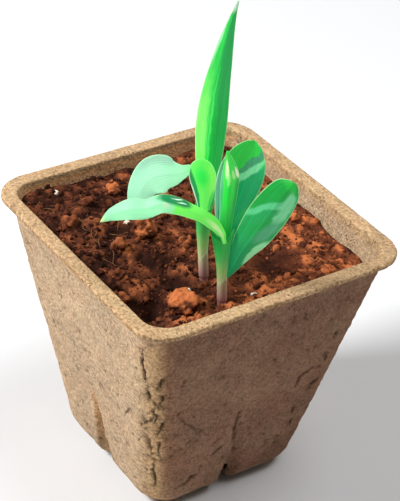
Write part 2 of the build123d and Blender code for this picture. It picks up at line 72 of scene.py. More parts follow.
# Creases and tears in the pressed fibre: half width and depth in millimetres, then a line of pixels of the
# photograph.
CREASES = [
    (0.24, 0.60, [(142, 351), (143, 357), (142, 363), (144, 369), (145, 379), (147, 383)]),
    (0.22, 0.55, [(164, 379), (161, 382), (160, 387), (156, 392)]),
    (0.36, 0.60, [(147, 390), (148, 393), (149, 396), (150, 402)]),
    (0.24, 0.55, [(166, 395), (163, 398), (162, 402), (159, 406)]),
    (0.22, 0.40, [(141, 426), (145, 423), (150, 421), (155, 416)]),
    (0.22, 0.35, [(130, 409), (127, 412), (124, 416)]),
    (0.26, 0.40, [(146, 434), (149, 440), (150, 447), (152, 455)]),
    (0.26, 0.55, [(154, 463), (153, 470), (155, 478), (154, 488)]),
    (0.24, 0.50, [(164, 420), (162, 426), (160, 430), (157, 437)]),
    (0.22, 0.40, [(156, 408), (153, 413), (157, 418), (154, 424)]),
    (0.22, 0.40, [(150, 399), (155, 404), (160, 409)]),
    (0.22, 0.45, [(160, 442), (158, 450), (161, 458)]),
    (0.32, 0.70, [(197, 474), (190, 479), (186, 483), (178, 487)]),
    (0.32, 0.80, [(313, 367), (306, 372), (300, 377), (296, 386)]),
    (0.26, 0.50, [(319, 377), (314, 382), (309, 386)]),
    (0.24, 0.45, [(339, 329), (336, 333), (334, 338)]),
    (0.24, 0.50, [(327, 354), (324, 361)]),
    (0.30, 0.50, [(294, 406), (292, 413)]),
    (0.28, 0.50, [(292, 418), (290, 425)]),
    (0.20, 0.30, [(178, 416), (186, 424), (193, 427), (199, 437)]),
    (0.22, 0.32, [(223, 437), (217, 441), (212, 446)]),
    (0.28, 0.48, [(222, 447), (216, 451), (212, 456)]),
    (0.22, 0.30, [(270, 440), (264, 446), (259, 449)]),
    (0.30, 0.35, [(51, 314), (54, 321), (57, 330)]),
    (0.26, 0.30, [(40, 287), (42, 294)]),
    (0.34, 0.34, [(240, 411), (236, 424), (234, 437), (233, 449)]),
]
CREASE_RAGGED = 0.00034
# The far walls have shallower copies of the creases.
FAR_CREASE = 0.8
# Faces nearer than this to a crease are halved, once for each band. So are those of the lip, once.
CREASE_BANDS = (0.0012, 0.0005)
LIP_HEIGHT = 0.0026

# In millimetres: how far below the rim the wall and the groove under the lip lie, how wide the groove and its
# painted shadow are, and the bounds of the pits' sizes.
WALL_START = 3
SEAM_LEVEL = 2.1
SEAM_WIDTH = 0.60
PIT_SIZES = (0.35, 0.85)
PIT_SEED = 11

# The lip groove's depth, the width of the rough corners, the height over which the foot stays even, the depth
# at which a crease gets its full painted shade, how soon the painted shade on one outer wall starts, and the
# painted light in the near groove: its width and its top.
SEAM_DEPTH = 0.35 * MILLIMETRE
CORNER_WIDTH = 0.0055
EVEN_FOOT = 4 * MILLIMETRE
DARK_CREASE = 0.45 * MILLIMETRE
DAMP_EDGE = 3.0 * MILLIMETRE
GROOVE_WIDTH = 2.5 * MILLIMETRE
GROOVE_TOP = 0.030

# How far apart the waves of the pot's surface lie.
SAG_SPAN = 0.021
LUMP_SPAN = 0.0042
FINE_SPAN = 0.0016
RAGGED_SPAN = 0.0013
SEAM_SPAN = 0.0045
DAMP_SPAN = 0.012

# What multiplies the fibre's colour: gold at the corners and the rim, which is the fibre's own, and in the
# near groove, where it is painted light; painted light on the shaded inner wall; and painted shade on one
# outer wall.
FIBRE_TINTS = {"gold": (1.06, 0.95, 0.74), "warm": (1.42, 1.12, 0.92), "damp": (0.47, 0.345, 0.345)}

# Holes in the soil, darkened with painted shade; the last two, shallow ones paint the shadow that the right
# leaf
# casts. Each: a photograph pixel, then radius and depth in millimetres.
SOIL_HOLES = [
    ((153, 312), 2.9, 4.2), ((208, 292), 1.8, 1.6), ((178, 283), 2.6, 1.4), ((150, 262), 2.8, 1.2),
    ((118, 232), 2.4, 1.2), ((238, 283), 2.2, 1.0), ((262, 266), 4.2, 0.5), ((282, 258), 3.4, 0.4),
]

# Paler places on the soil: a photograph pixel, then radius in millimetres and strength. On the front clod
# this is painted light.
SOIL_DRY = [((107, 187), 7.0, 0.40), ((175, 308), 5.0, 0.42), ((142, 250), 5.0, 0.30)]

# Lumps of the soil's top and of the clods: strength, size and seed. Then how far their outlines are broken,
# and how high the clods and the grains are roughened.
SOIL_LUMPS = [(0.75, 0.0050, 3), (0.55, 0.0026, 5), (0.32, 0.0013, 7)]
CLOD_LUMPS = [(1.0, 0.0024, 13), (0.7, 0.0011, 17)]
SOIL_BREAK = 0.55 * MILLIMETRE
CLOD_BREAK = 0.45 * MILLIMETRE
CLOD_RELIEF = 0.95 * MILLIMETRE
GRAIN_RELIEF = 0.15 * MILLIMETRE

# How far apart the waves of the soil's surface lie.
SOIL_ROUGH_SPAN = 0.0016
CLOD_ROUGH_SPAN = 0.0014
SOIL_SWELL_SPAN = 0.008

# Crumbs fade out this near to the soil's edge. Its sides are carved this deep, fully from some way down.
SOIL_FADE = 1.5 * MILLIMETRE
SOIL_CARVE = 0.6 * MILLIMETRE
SOIL_CARVE_START = 5 * MILLIMETRE

# How far down the edge of the soil's top is looked for and in what steps, how far above the foot the sides
# stop, and the rings under the foot.
BRIM_REACH = 9 * MILLIMETRE
BRIM_STEP = 0.2 * MILLIMETRE
SOIL_FOOT_GAP = 0.15 * MILLIMETRE
SOIL_FOOT_RINGS = (0.85, 0.6, 0.35, 0.15)

# Spacing of the soil's mesh rings on its top and its sides, and the face sizes of the clods and the grains.
SOIL_TOP_STEP = 0.43 * MILLIMETRE
SOIL_SIDE_STEP = 0.85 * MILLIMETRE
CLOD_CELL = 0.28 * MILLIMETRE
GRAIN_CELL = 0.12 * MILLIMETRE

# Loose crumbs: smallest and largest radius, sides, rings and seed.
LOOSE_CRUMBS = {"coarse_crumbs": (0.0005, 0.0013, 10, 7, 1), "fine_crumbs": (0.0002, 0.00055, 6, 4, 2)}
CRUMB_SHAPES = 5

# Where the fibre strands lie, how far they spread, their limit on the soil, their radius and their steps.
STRAND_MIDDLE = Vector((-0.012, -0.024, 0))
STRAND_SPREAD = (0.009, 0.006)
STRAND_LIMIT = 0.033
STRAND_RADIUS = 0.000060
STRAND_STEPS = 11
STRAND_SEED = 23
# A strand is laid down from this height and rests this far above the soil.
STRAND_FROM = 0.2
STRAND_REST = 0.1 * MILLIMETRE
# A strand's bend and wobble in radians, and the bounds of its step and its lift in millimetres.
STRAND_BEND = 0.22
STRAND_WOBBLE = 0.12
STRAND_STEP = (0.35, 0.8)
STRAND_LIFT = (0.1, 0.9)

# The seedlings spread their leaves along one line across the pot.
FAN_HEADING = math.radians(53.2)
ALONG = Vector((math.cos(FAN_HEADING), math.sin(FAN_HEADING), 0))
ACROSS = Vector((ALONG.y, -ALONG.x, 0))

# Each stem: where it comes through the soil, its height and its lean along the fan.
STEMS = {
    "rear": (Vector((0.016704, -0.008712, 0.070056)), 0.0200, -0.0015),
    "front": (Vector((0.027396, -0.010476, 0.070054)), 0.0183, -0.0010),
}
STEM_RADIUS = 0.0011
# How far a stem reaches down into the soil.
CROWN_DEPTH = 0.0022
# Loose crumbs leave this much room round a stem for it to sway.
STEM_ROOM = 0.0017

# Stations up a stem: height, lean and girth.
STEM_SHARES = [(0.0, 0.00, 1.00), (0.35, 0.55, 1.12), (0.70, 0.90, 1.45), (1.0, 1.00, 1.75)]
TUBE_TURN = 0.9
TUBE_SIDES = 48
TUBE_TURNS = [2 * math.pi * side / TUBE_SIDES for side in range(TUBE_SIDES)]
TUBE_LAP = 0.10
TUBE_RIBS = 14
# Mesh rows up a stem and its sheath, and the height of the ribs as a share of the radius.
STEM_ROWS, STEM_RIB = 64, 0.018
SHEATH_ROWS, SHEATH_RIB = 22, 0.012

# Lobes of the leaf sheaths at a stem's mouth: heading from the fan in degrees, rise and flare.
STEM_LOBES = {
    "rear": [(180.0, 0.0022, 0.0004), (0.0, 0.0026, 0.0002), (90.0, 0.0012, 0.0001)],
    "front": [(185.0, 0.0034, 0.0020), (0.0, 0.0040, 0.0004), (270.0, 0.0030, 0.0002)],
}
SHEATH_THICKNESS = 0.00016
SHEATH_SHARES = (0.02, 0.30)
SHEATH_SLANT = 0.0016

# Stem and sheath colours, as screen colours, from the crown up.
STEM_TINTS = [
    (0.10, (140, 92, 90)), (0.22, (186, 146, 138)), (0.36, (196, 192, 152)), (0.55, (142, 184, 108)),
    (0.74, (72, 168, 82)), (0.88, (30, 160, 66)), (1.00, (20, 150, 60)),
]
SHEATH_TINTS = [
    (0.00, (134, 88, 88)), (0.35, (178, 136, 130)), (0.75, (194, 178, 148)), (1.00, (188, 192, 148)),
]

# Leaves send back this share of the light, and leaves and stems let a little of it through. Both also glow in
# their own colour: painted light that brightens them even in shade.
LEAF_SHEEN = 0.58
STEM_GLOW = 0.20
SOFT_FLESH = {"Subsurface_Weight": 0.12, "Subsurface_Scale": 0.0006}

# How a leaf's cup deepens to its edges, the share of it that curls at its foot and how far, and its veins and
# ribs across.
LEAF_CUP_POWER = 1.4
LEAF_CURL_SHARE = 0.22
LEAF_CURL = 0.30
LEAF_VEINS = 17
LEAF_RIBS = 9
# The keel on a leaf's fold, in heights of a rib and half widths of the leaf. Then the waves of its edge, in
# radians a metre.
LEAF_KEEL = 5
LEAF_KEEL_WIDTH = 0.10
LEAF_WAVES = 700

# Streaks along the leaves, stems and sheaths: the band of noise and the screen colour. Then the edge and the
# underside of the leaves.
LEAF_STREAKS = [((0.50, 0.78), (235, 255, 225)), ((0.48, 0.24), (10, 80, 40))]
STEM_STREAKS = [((0.50, 0.80), (240, 250, 230)), ((0.46, 0.22), (90, 60, 60))]
SHEATH_STREAK = (232, 216, 200)
LEAF_RIM = (205, 252, 190)
LEAF_UNDERSIDE = (150, 215, 160)

# How far the outlines of the leaves' patches wander, across and along, and how often in a metre.
PATCH_WANDER = (0.16, 0.10, 0.0)
PATCH_WANDER_RATE = 260.0

# Each leaf: where it leaves its stem, reach along the fan, depth across it, rise, width, cup, tilt in degrees
# and where its fold lies, then stations along the midrib: reach, depth, rise and width.
# Its colours are screen colours, and its glow is painted light in its own colour; the patches that paint
# light and shade are marked. Across a leaf runs from 0 to 1, and along it from 0 at the foot to 1 at the tip.
# Each
# patch: middle across and along, half size across and along, turn in degrees, softness, colour.
LEAVES = {
    "rear_spear_leaf": {
        "seat": 0.90, "reach": 0.0036, "depth": 0.0010, "rise": 0.0598, "width": 0.0075, "cup": 0.0015,
        "tilt": 8.0, "fold": 0.24,
        "stations": [
            (0, 0, 0, 0.4), (0.12, 0.3, 0.07, 0.5), (0.01, 0.8, 0.28, 0.86), (-0.01, 1, 0.45, 1),
            (0.09, 1, 0.6, 0.87), (0.36, 0.8, 0.77, 0.58), (0.58, 0.6, 0.87, 0.35),
            (0.82, 0.4, 0.95, 0.15), (1, 0.2, 1, 0.05),
        ],
        "slot": "lime_leaf", "glow": 0.46, "veins": 0.8, "foot": (37, 186, 78), "tip": (31, 170, 80),
        "patches": [
            # The first two patches paint light on the spear's lit half; the next two a highlight and shade
            # along its fold.
            (0.82, 0.55, 0.3, 0.46, 0, 0.2, (34, 200, 74)),
            (0.88, 0.32, 0.26, 0.3, 0, 0.5, (128, 248, 106)),
            (0.55, 0.42, 0.05, 0.24, 0, 0.6, (62, 240, 95)),
            (0.43, 0.4, 0.05, 0.28, 0, 0.6, (28, 205, 74)),
            (0.97, 0.82, 0.1, 0.1, 0, 0.6, (150, 235, 160)),
            (0.5, 0.99, 0.6, 0.03, 0, 0.6, (175, 215, 180)),
        ],
    },
    "rear_left_leaf": {
        "seat": 0.90, "reach": -0.0168, "depth": 0.0012, "rise": 0.0138, "width": 0.0105, "cup": 0.0006,
        "tilt": 25.0, "fold": 0.0,
        "stations": [
            (0, 0, 0, 0.16), (0.03, -0.3, 0.52, 0.18), (0.12, -0.4, 0.89, 0.16), (0.24, -0.3, 0.98, 0.18),
            (0.36, -0.2, 0.91, 0.34), (0.48, -0.1, 0.865, 0.6), (0.62, 0, 0.85, 0.88),
            (0.78, 0.2, 0.77, 0.92), (0.92, 0.7, 0.56, 0.7), (0.99, 1, 0.2, 0.44), (1, 1, -0.08, 0.06),
        ],
        # This leaf's pale mint is painted light: glare on its sunlit face.
        "slot": "mint_leaf", "glow": 0.38, "veins": 0.25, "foot": (150, 248, 170), "tip": (172, 246, 202),
        "patches": [
            (0.1, 0.6, 0.16, 0.12, 0, 0.7, (156, 214, 182)),
            (0.6, 0.66, 0.3, 0.16, 0, 0.9, (180, 252, 206)),
            (0.4, 0.39, 0.6, 0.05, 0, 0.6, (136, 250, 153)),
        ],
    },
    "rear_front_leaf": {
        "seat": 0.85, "reach": -0.0019, "depth": 0.0027, "rise": 0.0194, "width": 0.0066, "cup": 0.0009,
        "tilt": 15.0, "fold": 0.5,
        "stations": [
            (0, 0, 0, 0.3), (0.1, 0.3, 0.2, 0.43), (0.21, 0.63, 0.45, 0.76), (0.53, 0.85, 0.69, 1),
            (0.82, 0.93, 0.84, 0.87), (0.95, 0.97, 0.93, 0.6), (1, 1, 1, 0.1),
        ],
        # Its stronger glow is painted light that brightens a leaf lying in shade.
        "slot": "lime_leaf", "glow": 0.6, "veins": 0.45, "foot": (118, 246, 106), "tip": (104, 252, 96),
        "patches": [
            (0.54, 0.73, 0.2, 0.15, 0, 0.7, (50, 240, 84)),
            (0.12, 0.62, 0.14, 0.24, 0, 0.6, (136, 252, 102)),
            (0.08, 0.33, 0.12, 0.14, 0, 0.5, (72, 213, 91)),
            # Painted shade on the strip that folds back, then a pale line along its edge.
            (0.96, 0.46, 0.22, 0.38, 0, 0.15, (28, 152, 80)),
            (0.99, 0.44, 0.06, 0.36, 0, 0.4, (190, 228, 196)),
        ],
    },
    "front_rolled_leaf": {
        "seat": 0.83, "reach": -0.0013, "depth": 0.0012, "rise": 0.0288, "width": 0.0043, "cup": 0.0015,
        "tilt": 0.0, "fold": 0.1,
        "stations": [
            (0, 0, 0, 0.5), (0, 0.2, 0.12, 0.62), (0, 0.5, 0.38, 0.82), (0, 0.83, 0.59, 1),
            (0.05, 1, 0.79, 0.9), (1, 0.83, 1, 0.08),
        ],
        "slot": "green_leaf", "glow": 0.38, "veins": 0.8, "foot": (16, 176, 58), "tip": (66, 226, 84),
        "patches": [
            (0.55, 0.58, 0.2, 0.14, 0, 0.7, (22, 222, 62)),
            (0.05, 0.5, 0.14, 0.32, 0, 0.5, (25, 172, 66)),
            # The next five patches are painted highlights near the top.
            (0.54, 0.73, 0.1, 0.07, 0, 0.5, (128, 248, 121)),
            (0.7, 0.83, 0.12, 0.08, 8, 0.4, (200, 245, 168)),
            (0.32, 0.78, 0.1, 0.04, 20, 0.4, (165, 246, 152)),
            (0.12, 0.79, 0.09, 0.045, 20, 0.4, (230, 250, 205)),
            (0.7, 0.87, 0.05, 0.03, 0, 0.4, (240, 252, 220)),
            (0.99, 0.54, 0.14, 0.28, 0, 0.3, (76, 186, 124)),
        ],
    },
    "front_back_leaf": {
        "seat": 0.83, "reach": 0.0052, "depth": -0.0035, "rise": 0.0296, "width": 0.0110, "cup": -0.0018,
        "tilt": 0.0, "fold": 0.0,
        "stations": [
            (0, 0.1, 0, 0.22), (0.02, 0.28, 0.14, 0.38), (0.19, 0.66, 0.39, 0.75), (0.42, 0.9, 0.64, 1),
            (0.65, 1, 0.84, 0.9), (0.87, 1, 0.96, 0.5), (0.96, 1, 1, 0.1),
        ],
        "slot": "green_leaf", "glow": 0.46, "veins": 0.6, "foot": (12, 152, 86), "tip": (42, 199, 66),
        "patches": [
            (0.55, 0.92, 0.8, 0.12, -20, 0.3, (40, 197, 66)),
            (0.3, 0.52, 0.9, 0.2, -24, 0.15, (13, 153, 88)),
            # The next two are painted highlight bands across the blade.
            (0.32, 0.81, 0.4, 0.045, -28, 0.3, (60, 150, 104)),
            (0.34, 0.72, 0.4, 0.04, -28, 0.3, (112, 206, 146)),
            (0.99, 0.45, 0.14, 0.34, 0, 0.4, (104, 190, 150)),
        ],
    },
    "front_arched_leaf": {
        "seat": 0.97, "reach": -0.0301, "depth": 0.0030, "rise": 0.0116, "width": 0.0052, "cup": 0.0009,
        "tilt": 50.0, "fold": 0.1,
        "stations": [
            (0, 0.47, -0.25, 0.24), (-0.01, 0.55, 0, 0.2), (0, 0.6, 0.16, 0.22), (0.02, 0.67, 0.32, 0.38),
            (0.09, 0.77, 0.57, 0.62), (0.18, 0.87, 0.75, 0.62), (0.28, 0.97, 0.87, 0.71),
            (0.39, 1, 0.98, 0.83), (0.52, 1, 1, 0.9), (0.64, 1, 0.85, 0.95), (0.78, 0.87, 0.77, 1),
            (0.91, 0.73, 0.58, 0.68), (1, 0.67, 0.34, 0.06),
        ],
        # The pale mint of its outer part, in the tip colour and the second patch below, is painted light:
        # glare on its sunlit face.
        "slot": "mint_leaf", "glow": 0.38, "veins": 0.35, "foot": (124, 249, 96), "tip": (150, 234, 176),
        "patches": [
            (0.5, 0.29, 2, 0.25, 0, 0.1, (116, 248, 96)), (0.5, 0.8, 2, 0.26, 0, 0.08, (150, 234, 176)),
            # Painted shade where the blade turns over, then a painted gleam and two painted highlights.
            (0.2, 0.52, 0.36, 0.11, 0, 0.25, (18, 138, 78)),
            (0.64, 0.585, 0.1, 0.02, 0, 0.6, (190, 226, 184)),
            (0.15, 0.5, 0.07, 0.016, 20, 0.4, (226, 252, 232)),
            (0.31, 0.475, 0.08, 0.014, 20, 0.4, (196, 246, 208)),
            # The first of these patches is a painted highlight along the lower edge.
            (0.62, 0.2, 0.18, 0.08, 0, 0.6, (205, 252, 166)), (0.5, 0.03, 2, 0.05, 0, 0.3, (16, 142, 70)),
            (0.5, 1, 0.6, 0.03, 0, 0.6, (195, 235, 150)),
        ],
    },
    "front_right_leaf": {
        "seat": 0.40, "reach": 0.0147, "depth": 0.0032, "rise": 0.0306, "width": 0.0093, "cup": 0.0014,
        "tilt": 20.0, "fold": 0.0,
        "stations": [
            (0.03, 0.1, 0, 0.15), (0.11, 0.25, 0.06, 0.22), (0.27, 0.5, 0.28, 0.64),
            (0.49, 0.75, 0.515, 0.97), (0.71, 0.94, 0.755, 1), (0.88, 1, 0.92, 0.78),
            (0.96, 1, 0.98, 0.48), (1, 1, 1.01, 0.16),
        ],
        "slot": "green_leaf", "glow": 0.4, "veins": 0.5, "foot": (24, 152, 92), "tip": (8, 160, 58),
        "patches": [
            (0.8, 0.82, 0.5, 0.16, -16, 0.25, (5, 156, 57)),
            (0.56, 0.73, 0.52, 0.05, -20, 0.25, (82, 192, 128)),
            (0.22, 0.78, 0.17, 0.17, 0, 0.25, (114, 208, 145)),
            (0.68, 0.6, 0.4, 0.06, -20, 0.25, (20, 158, 80)),
            (0.26, 0.54, 0.22, 0.1, -20, 0.5, (74, 166, 116)),
            (0.06, 0.32, 0.2, 0.14, 0, 0.2, (142, 218, 156)),
            (0.62, 0.98, 0.5, 0.04, 0, 0.5, (24, 182, 58)),
        ],
    },
}

# The finishes of the pieces that stay in the soil: two mottled screen colours, then the pieces.
BURIED_FINISHES = {
    "root": (
        (214, 192, 160), (242, 232, 212), ("mesocotyl", "primary_root", "seminal_roots", "crown_roots"),
    ),
    "kernel": ((198, 136, 44), (236, 188, 96), ("kernel",)),
}

# Half the floor's width, and the band of distances over which it starts to glow.
FLOOR_HALF = 14.0
FLOOR_GLOW_BAND = (0.35, 1.30)
FLOOR_GLOW = 1.1

# The lights: where each one stands and how wide it is. They point at the middle of the pot.
KEY_LIGHT = (Vector((-0.42, -0.92, 1.02)), 0.42)
FILL_LIGHT = (Vector((0.30, 0.35, 1.25)), 0.60)
LIT_PLACE = Vector((0, 0, 0.06))
SKY_COLOUR = (1.0, 0.90, 0.82)


class PotSettings(bpy.types.PropertyGroup):
    """Sizes and colours of the pressed-fibre pot."""

    cell: FloatProperty(
        name="Cell", description="Size of the pot's mesh faces", default=0.00090, unit="LENGTH")
    sag: FloatProperty(
        name="Unevenness", description="How far the walls wander in and out", default=0.00016, unit="LENGTH")
    lump: FloatProperty(
        name="Pulp lumps", description="Height of the lumps of pulp", default=0.00013, unit="LENGTH")
    pit: FloatProperty(
        name="Pit depth", description="Depth of the pits in the fibre", default=0.00045, unit="LENGTH")
    pit_count: IntProperty(name="Pits", description="How many pits the pot has", default=520)
    tan: FloatVectorProperty(
        name="Fibre", description="Colour of the fibre", default=(0.455, 0.325, 0.203), subtype="COLOR")
    brown: FloatVectorProperty(
        # Darkened, this is also the colour of the painted shade in the pits, the creases and the lip groove.
        name="Flecks", description="Colour of dark flecks", default=(0.085, 0.042, 0.021), subtype="COLOR")
    bark: FloatVectorProperty(
        name="Bark", description="Colour of the lip's edge", default=(0.21, 0.115, 0.045), subtype="COLOR")
    straw: FloatVectorProperty(
        name="Straw", description="Colour of the pale fibres", default=(0.66, 0.50, 0.33), subtype="COLOR")


class SoilSettings(bpy.types.PropertyGroup):
    """Sizes and colours of the soil."""

    columns: IntProperty(name="Columns", description="Mesh columns round the soil", default=420)
    crumb: FloatProperty(
        name="Crumb height", description="Height of the largest crumbs", default=0.0014, unit="LENGTH")
    coarse_crumbs: FloatProperty(
        name="Coarse crumbs", description="Loose coarse crumbs on a square metre", default=150000.0)
    fine_crumbs: FloatProperty(
        name="Fine crumbs", description="Loose fine crumbs on a square metre", default=620000.0)
    strands: IntProperty(name="Strands", description="Fibre strands lying on the soil", default=26)
    # The colour of the painted shade in the soil's hollows and holes.
    dark: FloatVectorProperty(
        name="Damp soil", description="Colour in the hollows", default=(0.022, 0.006, 0.003), subtype="COLOR")
    middle: FloatVectorProperty(
        name="Soil", description="Main colour of the soil", default=(0.120, 0.034, 0.014), subtype="COLOR")
    # The colour of the highest crumbs, with painted light on them, and of the pale places.
    bright: FloatVectorProperty(
        name="Dry soil", description="Colour of dry crumbs", default=(0.47, 0.140, 0.046), subtype="COLOR")


class LeafSettings(bpy.types.PropertyGroup):
    """Sizes of the seedlings' leaves."""

    rows: IntProperty(name="Rows", description="Mesh rows along a span of the midrib", default=9)
    columns: IntProperty(name="Columns", description="Mesh columns across a leaf", default=29)
    thickness: FloatProperty(
        name="Thickness", description="Leaf thickness at the midrib", default=0.00050, unit="LENGTH")
    edge: FloatProperty(
        name="Edge", description="Leaf thickness at the edge", default=0.00018, unit="LENGTH")
    wave: FloatProperty(
        name="Edge wave", description="How far the edges of a leaf wave", default=0.00022, unit="LENGTH")
    rib: FloatProperty(
        name="Ribs", description="Height of the ribs along a leaf", default=0.000035, unit="LENGTH")


class StageSettings(bpy.types.PropertyGroup):
    """Light and floor."""

    key: FloatProperty(
        name="Key light", description="Power of the main light", default=28.5, unit="POWER")
    fill: FloatProperty(
        name="Fill light", description="Power of the second light", default=10.0, unit="POWER")
    sky: FloatProperty(name="Sky", description="Strength of the light from all round", default=0.10)
    floor: FloatVectorProperty(
        name="Floor", description="Colour of the floor", default=(0.72, 0.73, 0.745), subtype="COLOR")


def screen(red, green, blue):
    """A screen colour, from 0 to 255, as a linear colour."""
    parts = [value / 255 for value in (red, green, blue)]
    return tuple(p / 12.92 if p <= 0.04045 else ((p + 0.055) / 1.055) ** 2.4 for p in parts) + (1.0,)


def solid(colour, factor=1.0):
    """A linear colour, times a factor, with its alpha."""
    return tuple(part * factor for part in colour) + (1.0,)


class Board:
    """A node tree in the making. What goes into a node is a value, or an output of another node."""

    def __init__(self, tree):
        self.tree = tree

    def feed(self, socket, value):
        """Links an output to a socket, or sets a value on it."""
        if isinstance(value, bpy.types.NodeSocket):
            self.tree.links.new(value, socket)
        else:
            socket.default_value = value

    def add(self, kind, inputs=None, **settings):
        """A new node."""
        made = self.tree.nodes.new(kind)
        for name, value in settings.items():
            setattr(made, name, value)
        for key, value in (inputs or {}).items():
            self.feed(made.inputs[key], value)
        return made

    def get(self, kind, inputs=None, output=0, **settings):
        """An output of a new node."""
        return self.add(kind, inputs, **settings).outputs[output]

    def math(self, operation, first, second=0.0):
        """What an operation makes of two values."""
        return self.get("ShaderNodeMath", {0: first, 1: second}, operation=operation)

    def times(self, value, factor):
        """A product."""
        return self.math("MULTIPLY", value, factor)

    def total(self, first, *others):
        """The sum of several values, each given with its weight."""
        made = self.times(*first)
        for other in others:
            made = self.math("ADD", made, self.times(*other))
        return made

    def vector(self, operation, first, second):
        """What an operation makes of two vectors."""
        return self.get("ShaderNodeVectorMath", {0: first, 1: second}, operation=operation)

    def scaled(self, vector, factor):
        """A vector times a value."""
        return self.get("ShaderNodeVectorMath", {0: vector, "Scale": factor}, operation="SCALE")

    def length(self, vector):
        """The length of a vector."""
        return self.get("ShaderNodeVectorMath", {0: vector}, "Value", operation="LENGTH")

    def remap(self, value, low, high):
        """A value brought from low and high to 0 and 1, smoothly."""
        return self.get("ShaderNodeMapRange", {0: value, 1: low, 2: high}, interpolation_type="SMOOTHSTEP")

    def mix(self, share, low, high, blend="MIX"):
        """A mix of two colours."""
        return self.get("ShaderNodeMix", {0: share, 6: low, 7: high}, 2, data_type="RGBA", blend_type=blend)

    def ramp(self, value, stops):
        """A colour that runs through several screen colours, each at a value from 0 to 1."""
        made = self.add("ShaderNodeValToRGB", {0: value})
        band = made.color_ramp.elements
        while len(band) < len(stops):
            band.new(1.0)
        for element, (spot, colour) in zip(band, stops):
            element.position = spot
            element.color = screen(*colour)
        return made.outputs[0]

    def grain(self, vector, size, detail=2.0, roughness=0.5, distortion=0.0):
        """Noise whose features are about one size across."""
        return self.get("ShaderNodeTexNoise", {
            "Vector": vector, "Scale": 1 / size, "Detail": detail, "Roughness": roughness,
            "Distortion": distortion,
        })

    def random(self, seed, low, high, kind="FLOAT"):
        """A random value for each element."""
        first, output = {"FLOAT_VECTOR": (0, 0), "FLOAT": (2, 1), "INT": (4, 2)}[kind]
        inputs = {first: low, first + 1: high, "Seed": seed}
        return self.get("FunctionNodeRandomValue", inputs, output, data_type=kind)


class Finish(Board):
    """A material in the making."""

    def __init__(self, name, roughness, specular):
        self.material = bpy.data.materials.new(name + "_finish")
        self.material.use_nodes = True
        super().__init__(self.material.node_tree)
        self.tree.nodes.clear()
        gloss = {"Roughness": roughness, "Specular IOR Level": specular}
        self.shader = self.add("ShaderNodeBsdfPrincipled", gloss)
        self.add("ShaderNodeOutputMaterial", {"Surface": self.shader.outputs[0]})

    def attribute(self, name):
        """A value stored on the mesh."""
        return self.get("ShaderNodeAttribute", output="Fac", attribute_name=name)

    def where(self):
        """Places on the piece, in metres."""
        return self.get("ShaderNodeTexCoord", output="Object")

    def bump(self, height, distance, strength=1.0):
        """A bumpy normal."""
        return self.get("ShaderNodeBump", {"Height": height, "Distance": distance, "Strength": strength})

    def streaked(self, lines, stretch):
        """The piece's own map, its parts across and along, and streaks along it."""
        uv = self.get("ShaderNodeUVMap", uv_map="leaf")
        parts = self.add("ShaderNodeSeparateXYZ", {0: uv}).outputs
        drawn = self.get("ShaderNodeMapping", {"Vector": uv, "Scale": (lines, stretch, 1.0)})
        return uv, parts[0], parts[1], self.grain(drawn, 1.0, 3.0)

    def veined(self, colour, streaks, bands, strength):
        """A colour with pale and dark streaks, each in its band of the streaks' values."""
        for band, tint in bands:
            share = self.times(self.remap(streaks, *band), strength)
            colour = self.mix(share, colour, screen(*tint), "SOFT_LIGHT")
        return colour

    def wear(self, **inputs):
        """Gives the shader its inputs. Returns the material."""
        for name, value in inputs.items():
            # Makes every piece in order.
            self.feed(self.shader.inputs[name.replace("_", " ")], value)
        return self.material


# Materials


def pressed_fibre(pot):
    """Tan pulp of pale and dark grains with dark flecks and a brown lip edge; painted shade in its pits,
    creases and under the lip and on one outer wall; painted light on a shaded inner wall and in the near
    groove.
    """
    paint = Finish("pressed_fibre", 0.95, 0.12)
    where = paint.where()
    broad = paint.grain(where, 0.014, 3.0)
    pulp = paint.grain(where, 0.0026, 4.0, 0.65)
    fine = paint.grain(where, 0.00080, 2.0, 0.6)
    tone = paint.total((broad, 0.35), (pulp, 0.42), (fine, 1.05))
    colour = paint.mix(paint.remap(tone, 0.53, 1.29), solid(pot.tan, 0.55), solid(pot.tan, 1.36))
    rosy = paint.remap(paint.grain(where, 0.0075), 0.40, 0.62)
    colour = paint.mix(rosy, colour, solid((1.0, 0.96, 0.955)), "MULTIPLY")
    winding = paint.grain(where, 0.0042, 1.5, distortion=0.8)
    beside = paint.math("ABSOLUTE", paint.math("SUBTRACT", winding, 0.5))
    straws = paint.math("SUBTRACT", 1.0, paint.remap(beside, 0.0, 0.012))
    colour = paint.mix(paint.times(straws, 0.25), colour, solid(pot.straw))
    patchy = paint.remap(paint.grain(where, 0.0065), 0.35, 0.70)
    fleck = paint.remap(paint.grain(where, 0.00060, 1.0), 0.60, 0.71)
    fleck = paint.times(fleck, paint.math("ADD", patchy, 0.15))
    colour = paint.mix(paint.times(fleck, 0.72), colour, solid(pot.brown))
    edge = paint.times(paint.attribute("bark"), paint.remap(tone, 1.11, 0.61))
    colour = paint.mix(edge, colour, solid(pot.bark))
    # These tints hold the gold, the painted light on the shaded inner wall and in the near groove, and the
    # painted shade on one outer wall.
    for name, tint in FIBRE_TINTS.items():
        colour = paint.mix(paint.attribute(name), colour, solid(tint), "MULTIPLY")
    # Painted shade in the pits, the creases and the groove under the lip.
    colour = paint.mix(paint.times(paint.attribute("hollow"), 0.95), colour, solid(pot.brown, 0.28))
    height = paint.total((pulp, 0.5), (fine, 0.8), (fleck, -0.3))
    return paint.wear(Base_Color=colour, Normal=paint.bump(height, 0.00055, 0.9))


